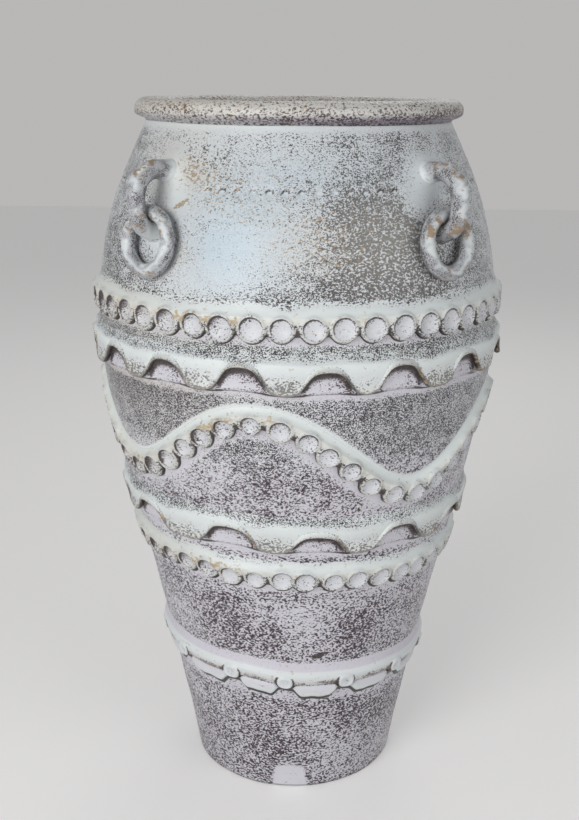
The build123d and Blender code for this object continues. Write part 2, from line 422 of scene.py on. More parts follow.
@dataclass(frozen=True)
class Patina:
    """Rubbed white slip over dark clay, with painted shade, shadows, highlights and a reflection among its
    layers; the layers' amounts come from the piece's attributes.
    """

    name: str
    dark: Colour = (0.036, 0.034, 0.036)
    plum: Colour = (0.036, 0.019, 0.028)
    middle: Colour = (0.23, 0.235, 0.245)
    mauve: Colour = (0.225, 0.18, 0.215)
    white: Colour = (0.735, 0.775, 0.785)
    slip: Colour = (0.75, 0.805, 0.795)
    # Colour of the painted reflection.
    pearl: Colour = (0.50, 0.63, 0.72)
    lilac: Colour = (0.68, 0.655, 0.725)
    cream: Colour = (0.64, 0.60, 0.52)
    brown: Colour = (0.034, 0.021, 0.020)
    rust: Colour = (0.36, 0.26, 0.145)
    worn: Colour = (0.36, 0.345, 0.355)
    earth: Colour = (0.255, 0.248, 0.232)
    fine: float = 900.0
    coarse: float = 480.0
    blotch: float = 15.0
    mottle: float = 0.08
    barest: float = 0.36
    fleck_edges: tuple[float, float] = (0.72, 0.24)
    softness: float = 0.015
    deep: tuple[float, float] = (-0.08, -0.01)
    filled: tuple[float, float] = (0.70, 1.0)
    filled_cover: float = 0.7
    whole: tuple[float, float] = (0.72, 0.95)
    wear: float = 0.34
    wear_grain: tuple[float, float] = (0.36, 0.66)
    wear_left: float = 0.15
    bite: float = 0.30
    stain_and_shade_edges: tuple[float, float] = (0.34, 0.56)
    stain_and_shade_cover: float = 0.94
    flake: float = 400.0
    flake_edges: tuple[float, float] = (0.72, 0.42)
    flake_softness: float = 0.03
    flake_cover: float = 0.85
    bump: float = 0.35
    bump_depth: float = 0.25
    roughness: float = 0.42

    def material(self) -> Material:
        """Builds the node tree.

        Returns:
            The finished material.
        """
        made = bpy.data.materials.new(self.name)
        tree = Nodes(made)
        slip, stain_and_shade, rust, earth = tree.split(PATINA)
        lilac, warm, pearl, coarse = tree.split(TINT)
        fleck = tree.mix(coarse, tree.noise(self.fine, 1.0, 0.45), tree.noise(self.coarse, 1.5, 0.5))
        cover = slip
        for cloud in (tree.noise(self.blotch, 3.0, 0.6), tree.noise(self.blotch * 6, 2.0, 0.6)):
            cover = tree.math("ADD", cover, tree.span(cloud, *NOISE_SPAN, -self.mottle, self.mottle))
        cover = tree.math("MAXIMUM", cover, self.barest)
        above = tree.math("SUBTRACT", fleck, tree.span(cover, 0.0, 1.0, *self.fleck_edges))
        flecks = tree.span(above, -self.softness, self.softness * 1.4, 0.0, 1.0)
        deep = tree.span(above, *self.deep, 0.0, 1.0)
        hollows = tree.mix(lilac, self.dark, self.plum)
        ground = tree.mix(deep, hollows, tree.mix(lilac, self.middle, self.mauve))
        ground = tree.mix(earth, ground, self.earth)
        ground = tree.mix(tree.span(cover, *self.filled, 0.0, self.filled_cover), ground, self.white)
        colour = tree.mix(flecks, ground, self._light(tree, slip, lilac, warm, pearl))
        # Stains, painted shade and painted shadow lines all darken towards brown here.
        bite = tree.math("ADD", stain_and_shade, tree.span(fleck, *NOISE_SPAN, -self.bite, self.bite))
        colour = tree.mix(tree.span(bite, *self.stain_and_shade_edges, 0.0, self.stain_and_shade_cover), colour, self.brown)
        flake = tree.noise(self.flake, 2.0, 0.6)
        thick = tree.math("SUBTRACT", flake, tree.span(rust, 0.0, 1.0, *self.flake_edges))
        flakes = tree.span(thick, -self.flake_softness, self.flake_softness, 0.0, 1.0)
        colour = tree.mix(tree.math("MULTIPLY", flakes, self.flake_cover), colour, self.rust)
        feeds = {"Strength": self.bump, "Distance": self.bump_depth * MM, "Height": flecks}
        relief = tree.add("Bump", feeds).outputs[0]
        feeds = {"Base Color": colour, "Roughness": self.roughness, "Normal": relief}
        tree.output(tree.add("BsdfPrincipled", feeds))
        return made

    def _light(self, tree: Nodes, slip: Socket, lilac: Socket, warm: Socket, pearl: Socket) -> Socket:
        """Colour of the slip itself: white where it is whole, tinted by the washes and by a painted
        reflection, and worn in its grain.

        Args:
            tree: The material's nodes.
            slip: Amount of slip.
            lilac: Amount of lilac wash.
            warm: Amount of cream.
            pearl: Amount of painted blue-grey reflection.

        Returns:
            The colour.
        """
        light = tree.mix(tree.span(slip, *self.whole, 0.0, 1.0), self.white, self.slip)
        # Mixes in the painted blue-grey reflection.
        light = tree.mix(pearl, tree.mix(lilac, light, self.lilac), self.pearl)
        light = tree.mix(warm, light, self.cream)
        grain = tree.noise(self.fine * 1.2, 1.0, 0.5)
        rubbed = tree.span(grain, *self.wear_grain, self.wear, 0.0)
        worn = tree.math("MULTIPLY", rubbed, tree.span(slip, *self.whole, 1.0, self.wear_left))
        return tree.mix(worn, light, self.worn)


JAR_FINISH = Patina("jar_patina")
RIM_FINISH = Patina(
    "rim_patina",
    dark=(0.095, 0.073, 0.062),
    middle=(0.29, 0.265, 0.25),
    white=(0.68, 0.675, 0.66),
    cream=(0.69, 0.665, 0.60),
    lilac=(0.37, 0.345, 0.39),
    rust=(0.34, 0.20, 0.075),
    softness=0.03,
)
BAND_FINISH = Patina("band_patina", rust=(0.44, 0.33, 0.18), flake=230.0, flake_softness=0.07, wear=0.25)
HANDLE_FINISH = Patina(
    "handle_patina",
    middle=(0.235, 0.23, 0.22),
    mauve=(0.215, 0.205, 0.215),
    white=(0.55, 0.575, 0.605),
    slip=(0.73, 0.775, 0.775),
    lilac=(0.41, 0.42, 0.45),
    rust=(0.29, 0.19, 0.095),
    fine=1300.0,
    flake=170.0,
    flake_softness=0.06,
    softness=0.08,
    wear=0.20,
)


def deselect() -> None:
    """Leaves nothing selected, so that the next operator acts on its own piece alone."""
    bpy.ops.object.select_all(action="DESELECT")


def dress(piece: bpy.types.Object, material: Material, body: str, slot: str, *nodes: str) -> None:
    """Gives a finished piece its material, its body and the nodes that it stands for.

    Args:
        piece: The finished mesh object.
        material: Its finish.
        body: The body that it rides on.
        slot: The record's material slot; not used.
        nodes: The nodes that it replaces.
    """
    piece.data.materials.clear()
    piece.data.materials.append(material)
    deselect()
    piece.select_set(True)
    bpy.context.view_layer.objects.active = piece
    bpy.ops.object.shade_smooth()
    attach(piece, body)
    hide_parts(*nodes)
    LOG.info("%s: %d faces", piece.name, len(piece.data.polygons))


def closed_ring(name: str, points: Array, paint: Paint | None = None) -> bpy.types.Object:
    """Ring piece whose sections are pressed to shape one by one.

    Args:
        name: The piece's name.
        points: Millimetre points, first round the jar and then round the section, which goes up
            on the outside.
        paint: Amounts of the finish at the same points, unless the piece is painted later.

    Returns:
        The new piece, at the origin.
    """
    around, across = points.shape[:2]
    deselect()
    bpy.ops.mesh.primitive_grid_add(x_subdivisions=around, y_subdivisions=across, size=1.0)
    piece = bpy.context.object
    piece.name = piece.data.name = name
    rows = np.pad(points * MM, ((0, 1), (0, 1), (0, 0)), mode="wrap").transpose(1, 0, 2)
    piece.data.vertices.foreach_set("co", rows.astype(np.float32).ravel())
    if paint is not None:
        paint.store(piece.data, (around, across))
    bpy.ops.object.mode_set(mode="EDIT")
    bpy.ops.mesh.select_all(action="SELECT")
    bpy.ops.mesh.remove_doubles(threshold=SEAM * MM)
    bpy.ops.object.mode_set(mode="OBJECT")
    return piece


@dataclass
class BandLine:
    """Middle line of a band: its height at each angle, with the jar's hand-laid tilt."""

    height: float
    tilt: float = 0.0
    swing: float = 0.0
    waves: int = 0
    crest: float = 0.0
    unevenness: float = 0.8
    seed: int = 1
    step: float = 0.2

    def at(self, angle: Array) -> Array:
        """Height of the line at an angle.

        Args:
            angle: Angles round the jar.

        Returns:
            Heights in millimetres.
        """
        line = self.height - self.tilt * np.sin(np.radians(angle))
        if self.waves:
            line = line + self.swing * np.cos(np.radians(self.waves * (angle - self.crest)))
        return line + self.unevenness * Wobble(self.seed).at(angle)

    def slope(self, angle: Array) -> Array:
        """Angle of the line from level, in radians, on the unrolled wall."""
        rise = self.at(angle + self.step) - self.at(angle - self.step)
        return np.arctan2(rise, np.radians(2 * self.step) * WALL.radius(self.at(angle)))


UPPER_CUPS = BandLine(441.0, tilt=1.0, seed=11)
UPPER_WAVES = BandLine(391.5, tilt=1.0, seed=12)
SERPENTINE = BandLine(336.0, tilt=8.0, swing=31.0, waves=4, crest=-10.0, seed=13)
LOWER_WAVES = BandLine(255.5, tilt=4.5, seed=14)
LOWER_CUPS = BandLine(229.0, tilt=5.0, seed=15)
FOOT_LINE = BandLine(121.0, tilt=6.0, unevenness=1.2, seed=16)


@dataclass(frozen=True)
class Halo:
    """Slip left above a band and wash left under it, by distance from the band's line."""

    line: BandLine
    top: float
    rise: float
    foot: float
    drop: float

    def at(self, angle: Array, height: Array) -> tuple[Array, Array]:
        """Amounts of slip and wash at each place.

        Args:
            angle: Angles round the jar.
            height: Heights on the wall.

        Returns:
            Slip above the band and wash under it, 0 to 1.
        """
        apart = (height - self.line.at(angle)) * np.cos(self.line.slope(angle))
        fade = self.rise * (1.0 + 0.25 * Wobble(self.line.seed + Hand.HALO).at(angle))
        slip = smooth(self.top + fade, self.top + 0.25 * fade, apart) * (apart > self.foot)
        wash = smooth(self.foot - self.drop, self.foot - 0.3 * self.drop, apart) * (apart <= self.top)
        return slip, wash


HALOS = (
    Halo(UPPER_CUPS, 16.0, 4.0, -9.0, 5.0),
    Halo(UPPER_WAVES, 20.0, 4.0, 0.0, 7.0),
    Halo(SERPENTINE, 13.0, 5.0, -8.0, 8.0),
    Halo(LOWER_WAVES, 22.0, 2.0, 0.0, 7.0),
    Halo(LOWER_CUPS, 14.0, 2.0, -8.0, 9.0),
    Halo(FOOT_LINE, 11.0, 1.0, -13.0, 11.0),
)


@dataclass(frozen=True)
class Cloud:
    """Patch of the wall where one layer of the finish is thicker or thinner."""

    angle: float
    height: float
    wide: float
    tall: float
    amount: float

    def at(self, angle: Array, height: Array) -> Array:
        """Change of the layer at each place."""
        return self.amount * facing_to(angle, self.angle, self.wide) * bell(height - self.height, self.tall)


@dataclass(frozen=True)
class Mark(Cloud):
    """Patch of the wall with a firm, uneven edge; its corners fill as squareness grows."""

    squareness: float = 2.0
    slant: float = 0.0
    taper: float = 0.0
    softness: float = 0.25
    ragged: float = 1.0

    def at(self, angle: Array, height: Array) -> Array:
        """Change of the layer at each place.

        Args:
            angle: Angles round the jar.
            height: Heights on the wall.

        Returns:
            The change, which is the mark's whole amount inside its edge.
        """
        across = turn_between(angle, self.angle)
        up = height - self.height - self.slant * across
        aside = np.abs(across) / (self.wide * np.clip(1 - self.taper * up / self.tall, 0.5, 1.5))
        reach = aside**self.squareness + np.abs(up / self.tall) ** self.squareness
        uneven = 0.12 * np.sin(2.1 * across + 0.9 * up) + 0.10 * np.sin(0.8 * up - 1.7 * across)
        edge = reach ** (1 / self.squareness) + self.ragged * uneven
        return self.amount * smooth(1 + self.softness, 1 - self.softness, edge)


def clouds_at(clouds: tuple[Cloud, ...], angle: Array, height: Array) -> Array:
    """Sum of the changes that several clouds make at each place."""
    return sum(cloud.at(angle, height) for cloud in clouds)


# Changes of slip, among them painted light and shade.
SLIP_AND_LIGHT_CLOUDS = (
    # Brighter patch on the left of the shoulder: partly thicker slip, partly painted highlight.
    Cloud(-14.0, 500.0, 22.0, 40.0, 0.24),
    Cloud(-10.0, 560.0, 20.0, 20.0, 0.12),
    Cloud(23.0, 492.0, 23.0, 38.0, -0.33),
    Cloud(46.0, 165.0, 14.0, 40.0, -0.04),
    Cloud(20.0, 530.0, 16.0, 26.0, -0.07),
    Cloud(-46.0, 480.0, 9.0, 26.0, -0.08),
    # These two darken the shoulder towards both sides: painted shade.
    Cloud(-66.0, 500.0, 12.0, 50.0, -0.14),
    Cloud(62.0, 500.0, 12.0, 50.0, -0.08),
    Cloud(-46.0, 390.0, 20.0, 30.0, -0.18),
    Cloud(10.0, 462.0, 22.0, 10.0, -0.08),
    Cloud(-25.0, 172.0, 12.0, 22.0, -0.10),
    Cloud(24.0, 168.0, 9.0, 26.0, -0.11),
    Cloud(5.0, 175.0, 8.0, 26.0, 0.12),
    Cloud(-12.0, 58.0, 13.0, 26.0, -0.08),
    Cloud(28.0, 40.0, 14.0, 30.0, 0.06),
    Cloud(-36.0, 531.0, 5.0, 14.0, 0.30),
    Cloud(36.0, 531.0, 5.0, 14.0, 0.30),
)
RUST_CLOUDS = (
    Cloud(-33.0, 549.0, 6.0, 10.0, 0.50),
    Cloud(-24.0, 540.0, 14.0, 22.0, 0.36),
    Cloud(-6.0, 520.0, 20.0, 30.0, 0.22),
    Cloud(4.0, 492.0, 14.0, 22.0, 0.26),
    Cloud(-32.0, 490.0, 5.0, 16.0, 0.46),
    Cloud(18.0, 296.0, 12.0, 12.0, 0.18),
    Cloud(18.0, 505.0, 20.0, 34.0, 0.20),
)
EARTH_CLOUDS = (Cloud(25.0, 505.0, 22.0, 44.0, 0.85), Cloud(-38.0, 552.0, 16.0, 26.0, 0.6))
# Painted reflection of the lamps on the shoulder, in blue-grey.
PAINTED_REFLECTION_CLOUDS = (Cloud(-18.0, 500.0, 14.0, 40.0, 0.9), Cloud(0.0, 545.0, 40.0, 24.0, 0.4))
COARSE_CLOUDS = (Cloud(26.0, 490.0, 18.0, 40.0, 0.45), Cloud(-33.0, 555.0, 12.0, 26.0, 0.5))
UMBER = Cloud(-50.0, 400.0, 34.0, 46.0, 1.0)
CREAM = Cloud(-46.0, 554.0, 20.0, 30.0, 1.0)
BARE_PATCH = Mark(-2.2, 8.0, 9.0, 16.5, 1.0, 7.0, taper=0.16, softness=0.06, ragged=0.3)
STREAK = Mark(-34.9, 525.7, 2.5, 2.2, 0.95, slant=1.55)
CHIPS = (Mark(10.8, 149.6, 3.3, 1.5, 0.95, slant=0.35), Mark(9.0, 146.4, 2.0, 0.8, 0.95, slant=0.1))


@dataclass
class WallSection:
    """One thrown section of the wall, with throwing rills and the slip that its bands left on it."""

    node: str
    low: float
    high: float
    bottom: float
    rows: int
    around: int = 560
    thickness: float = 11.0
    inner_rows: int = 24
    inner_uneven: float = 0.6
    inner_slip: float = 0.25
    rill: float = 0.06
    rill_pitch: float = 7.0
    rill_sway: float = 2.0
    dot_height: float = 536.0
    dot_step: float = 360.0 / 78
    dot_start: float = 1.2
    dot_radius: float = 2.8
    dot_depth: float = 1.3
    dot_clear: float = 13.0
    no_dot: float = 1000.0
    lug_roots: tuple[tuple[float, float, float], ...] = ((547.5, 4.5, 14.0), (503.5, 2.2, 12.0))
    cover_heights: tuple[float, ...] = (0.0, 100.0, 150.0, 270.0, 330.0, 350.0, 400.0, 440.0, 470.0)
    cover_steps: tuple[float, ...] = (0.46, 0.46, 0.50, 0.50, 0.50, 0.44, 0.43, 0.46, 0.56)
    coarse_heights: tuple[float, ...] = (0.0, 100.0, 150.0, 230.0, 290.0, 330.0, 350.0, 410.0, 440.0, 470.0)
    coarse_steps: tuple[float, ...] = (1.0, 0.9, 0.9, 0.8, 0.6, 0.5, 0.15, 0.1, 0.1, 0.3)

    def build(self, material: Material) -> None:
        """Builds and dresses the section.

        Args:
            material: The finish that it gets.
        """
        angle = all_round(self.around)
        outside = np.linspace(self.bottom, self.high, self.rows)[None, :]
        inside = np.linspace(self.high, self.low, self.inner_rows)[None, :]
        above, below = self._halo(angle, outside)
        out = self._rills(angle, outside) * (1 - above) + self._smears(angle, outside)
        out = out - self.dot_depth * bell(self._from_dot(angle, outside), self.dot_radius)
        outer = WALL.place(angle, outside, out)
        inner_out = -self.thickness + self.inner_uneven * Wobble(Hand.INSIDE).at(angle, inside)
        inner = WALL.place(angle, np.broadcast_to(inside, inner_out.shape), inner_out)
        inner[..., 2] = inside
        outer[:, -1, 2] = self.high
        points = np.concatenate((outer, inner), axis=1)
        paint = self._paint(angle, outside, above, below).lined(out.shape, self.inner_rows, self.inner_slip)
        piece = closed_ring(f"{self.node}_wall", points, paint)
        dress(piece, material, "jar", "jar_clay", self.node)

    def _rills(self, angle: Array, height: Array) -> Array:
        """Shallow throwing rills that climb slowly round the wall.

        Args:
            angle: Angles round the jar.
            height: Heights on the wall.

        Returns:
            How far they stand out from the wall.
        """
        turn = height / self.rill_pitch + angle / 360.0
        sway = self.rill_sway * Wobble(Hand.RILLS).at(angle, height)
        return self.rill * np.sin(2 * math.pi * turn + sway)

    def _smears(self, angle: Array, height: Array) -> Array:
        """Clay rubbed on to the wall round both roots of each lug.

        Args:
            angle: Angles round the jar.
            height: Heights on the wall.

        Returns:
            How far it stands out.
        """
        total = np.zeros(np.broadcast(angle, height).shape)
        for side in Side:
            along = np.radians(turn_between(angle, side.value)) * WALL.radius(height)
            for level, rise, wide in self.lug_roots:
                total = total + rise * bell(np.hypot(along, height - level), wide)
        return total

    def _from_dot(self, angle: Array, height: Array) -> Array:
        """Distance to the nearest of the small stamped dots between the lugs.

        Args:
            angle: Angles round the jar.
            height: Heights on the wall.

        Returns:
            Millimetres.
        """
        nearest = np.round((angle - self.dot_start) / self.dot_step) * self.dot_step + self.dot_start
        along = np.radians(angle - nearest) * WALL.radius(height)
        from_lug = np.min([np.abs(turn_between(nearest, side.value)) for side in Side], axis=0)
        return np.hypot(along, height - self.dot_height) + self.no_dot * (from_lug < self.dot_clear)

    @staticmethod
    def _halo(angle: Array, height: Array) -> tuple[Array, Array]:
        """White slip left above each band and lilac wash left under it.

        Args:
            angle: Angles round the jar.
            height: Heights on the wall.

        Returns:
            Amounts above and below the bands.
        """
        slips, washes = zip(*(halo.at(angle, height) for halo in HALOS))
        from_foot = height - FOOT_LINE.at(angle) + 1.5 * Wobble(Hand.FOOT_WASH).at(angle)
        over_foot = smooth(24.0, 16.0, from_foot) * (from_foot > 0)
        return np.max(slips, axis=0), np.max([*washes, over_foot], axis=0)

    def _paint(self, angle: Array, height: Array, above: Array, below: Array) -> Paint:
        """Slip, stain and rust on the outside of the section.

        Args:
            angle: Angles round the jar.
            height: Heights of the outer rows.
            above: Slip left above the bands.
            below: Wash left below the bands.

        Returns:
            The paint of the outside.
        """
        cover = np.interp(height, self.cover_heights, self.cover_steps)
        cover = cover + 0.05 * Wobble(Hand.SLIP, (1, 2, 3, 4, 6), 0.02).at(angle, height)
        cover = cover + clouds_at(SLIP_AND_LIGHT_CLOUDS, angle, height)
        cover = cover + 0.34 * smooth(574, 582, height) + 0.12 * self._smears(angle, height)
        wash = 0.75 - 0.06 * smooth(175, 155, height)
        cover = blend(np.maximum(cover, FULL_SLIP * above), wash, below)
        cover = blend(cover, 0.93, BARE_PATCH.at(angle, height))
        from_dot = self._from_dot(angle, height)
        # Painted shadow: a dark crescent along the upper edge inside each stamped dot.
        painted_dot_shadow = bell(from_dot - 2.6, 1.0) * smooth(-1.6, 1.0, height - self.dot_height)
        painted_dot_shadow = painted_dot_shadow * smooth(-1.6, 0.4, Wobble(Hand.CRESCENTS, (9, 14, 21)).at(angle))
        plum = 0.35 * smooth(420, 390, height) + 0.40 * smooth(350, 310, height)
        plum = plum + 0.12 * smooth(440, 470, height)
        umber = UMBER.at(angle, height)
        rust = STREAK.at(angle, height) + clouds_at(RUST_CLOUDS, angle, height)
        coarse = np.interp(height, self.coarse_heights, self.coarse_steps)
        return Paint(
            # Each stamped dot is whiter in its middle: partly slip, partly painted highlight.
            slip=cover + 0.35 * bell(from_dot, 2.0),
            stain_and_shade=np.maximum(0.80 * painted_dot_shadow, clouds_at(CHIPS, angle, height)) + 0.25 * umber,
            rust=rust,
            earth=clouds_at(EARTH_CLOUDS, angle, height),
            lilac=np.maximum(0.95 * below, plum * (1 - above)),
            warm=0.3 * rust + 0.6 * umber + 0.4 * CREAM.at(angle, height),
            pearl=clouds_at(PAINTED_REFLECTION_CLOUDS, angle, height),
            coarse=coarse + clouds_at(COARSE_CLOUDS, angle, height),
        )


@dataclass
class BaseSlab:
    """Flat slab that the wall stands on."""

    radius: float = 90.0
    thickness: float = 14.0
    bevel: float = 2.5
    bevel_steps: int = 3
    corners: int = 96
    sharp: float = 35.0
    slip: float = 0.3

    def build(self, material: Material) -> None:
        """Builds and dresses the slab.

        Args:
            material: The finish that it gets.
        """
        deselect()
        bpy.ops.mesh.primitive_cylinder_add(
            vertices=self.corners,
            radius=self.radius * MM,
            depth=self.thickness * MM,
            location=(0, 0, self.thickness * MM / 2),
        )
        slab = bpy.context.object
        slab.name = slab.data.name = "base_slab_disc"
        bpy.ops.object.transform_apply(location=True)
        bpy.ops.object.mode_set(mode="EDIT")
        bpy.ops.mesh.select_mode(type="EDGE")
        bpy.ops.mesh.select_all(action="DESELECT")
        bpy.ops.object.mode_set(mode="OBJECT")
        for edge in slab.data.edges:
            ends = [slab.data.vertices[i].co.z for i in edge.vertices]
            edge.select = max(ends) < self.bevel * MM
        bpy.ops.object.mode_set(mode="EDIT")
        bpy.ops.mesh.bevel(offset=self.bevel * MM, segments=self.bevel_steps)
        bpy.ops.object.mode_set(mode="OBJECT")
        Paint(slip=self.slip).store(slab.data, (len(slab.data.vertices),))
        dress(slab, material, "jar", "jar_clay", "base_slab")
        bpy.ops.object.shade_smooth_by_angle(angle=math.radians(self.sharp))


@dataclass
class RimCoil:
    """Rolled rim on top of the neck."""

    middle_radius: float = 126.3
    middle_height: float = 590.7
    coil: float = 9.55
    squash_under: float = 0.66
    squash_over: float = 0.97
    seat: float = 583.0
    seat_sink: float = 0.6
    around: int = 420
    across: int = 40
    uneven: float = 0.35
    out_of_round: float = 0.5

    def build(self, material: Material) -> None:
        """Builds and dresses the rim.

        Args:
            material: The finish that it gets.
        """
        angle = all_round(self.around)
        turn = np.linspace(-0.5 * math.pi, 1.5 * math.pi, self.across + 1)[None, :-1]
        out, up = np.cos(turn), np.sin(turn)
        coil = self.coil + self.uneven * Wobble(Hand.RIM_COIL).at(angle, 60 * turn)
        radius = self.middle_radius + coil * out + self.out_of_round * Wobble(Hand.RIM_ROUND).at(angle)
        height = self.middle_height + coil * up * np.where(up < 0, self.squash_under, self.squash_over)
        height = blend(height, self.seat - self.seat_sink, smooth(0.10, 0.0, out) * (up < -0.8))
        around = np.radians(angle)
        points = np.stack((radius * np.sin(around), -radius * np.cos(around), height), -1)
        piece = closed_ring("rim_coil_roll", points, self._paint(angle, turn))
        dress(piece, material, "jar", "rim_clay", "rim_coil")

    @staticmethod
    def _paint(angle: Array, turn: Array) -> Paint:
        """Cream on top and to the left, grey to the right, painted shade in plum underneath.

        Args:
            angle: Angles round the jar.
            turn: Angles round the coil, in radians, from its outside up.

        Returns:
            The rim's paint.
        """
        out, up = np.cos(turn), np.sin(turn)
        left, right = facing_to(angle, -48.0, 40.0), facing_to(angle, 32.0, 42.0)
        # Painted shade on what faces down: less slip, a little dark and plum.
        under = smooth(0.1, -0.5, up)
        line = bell(out + 0.02, 0.10) * (up > 0) * facing_to(angle, 4.0, 40.0)
        speckle = 0.09 * Wobble(Hand.RIM_SLIP).at(angle, 50 * turn)
        rusty = left * smooth(-0.9, 0.1, up + 0.4 * Wobble(Hand.RIM_RUST).at(angle))
        return Paint(
            slip=0.52 + 0.10 * smooth(-0.3, 0.9, up) - 0.07 * right - 0.04 * under + speckle,
            stain_and_shade=0.06 * under + 0.60 * line,
            rust=0.10 + 0.34 * rusty + 0.2 * smooth(0.1, -0.4, out),
            lilac=under * (1 - 0.7 * left),
            warm=(0.55 + 0.3 * left) * smooth(-0.6, 0.3, up) * (1 - 0.4 * right),
            coarse=0.6 + 0.3 * left,
        )


@dataclass
class Band:
    """What the applied bands share: a line round the wall and a row of presses along it.

    The names in capitals are added to the seed, one for each thing that is drawn from it.
    """

    node: str
    line: BandLine
    count: int
    first: float
    seed: int = 1
    around: int = 1400
    top: float = 21.0
    crest: float = 8.5

    def _lay(self, node: str, form: str, points: Array, paint: Paint, material: Material) -> None:
        """Makes one piece of the band and dresses it.

        Args:
            node: The node that it stands for.
            form: What it is, for the piece's name.
            points: Its points, first round the jar and then round its section.
            paint: Its paint at those points.
            material: Its finish.
        """
        piece = closed_ring(f"{node}_{form}", points, paint)
        dress(piece, material, "jar", "band_clay", node)

    def _smear(self, across: Array) -> Array:
        """Share of the band's thickness that is left on the way up to its smeared edge."""
        return np.clip((self.top - across) / (self.top - self.crest), 0.0, 1.0)

    def _rows(self, low: Array, under: tuple[float, ...], count: int) -> Array:
        """Rows across a band: a few along its lower edge, then its face up to its top.

        Args:
            low: Lower edge of the band at each angle.
            under: Where the rows along the edge lie, measured from it.
            count: Number of rows of the face.

        Returns:
            Distance of each row from the band's line.
        """
        share = np.concatenate((np.zeros(len(under)), np.linspace(0.0, 1.0, count) ** 1.15))
        return low + np.concatenate((under, np.zeros(count))) + share * (self.top - low)

    def _upright(self, angle: Array, across: Array, out: Array) -> Array:
        """Points of a band whose sections stand upright on the wall.

        Args:
            angle: Angles round the jar.
            across: Distance of each point across the band from its line.
            out: How far each point stands out from the wall.

        Returns:
            Points in millimetres.
        """
        height = self.line.at(angle) + across
        return WALL.place(np.broadcast_to(angle, height.shape), height, out)


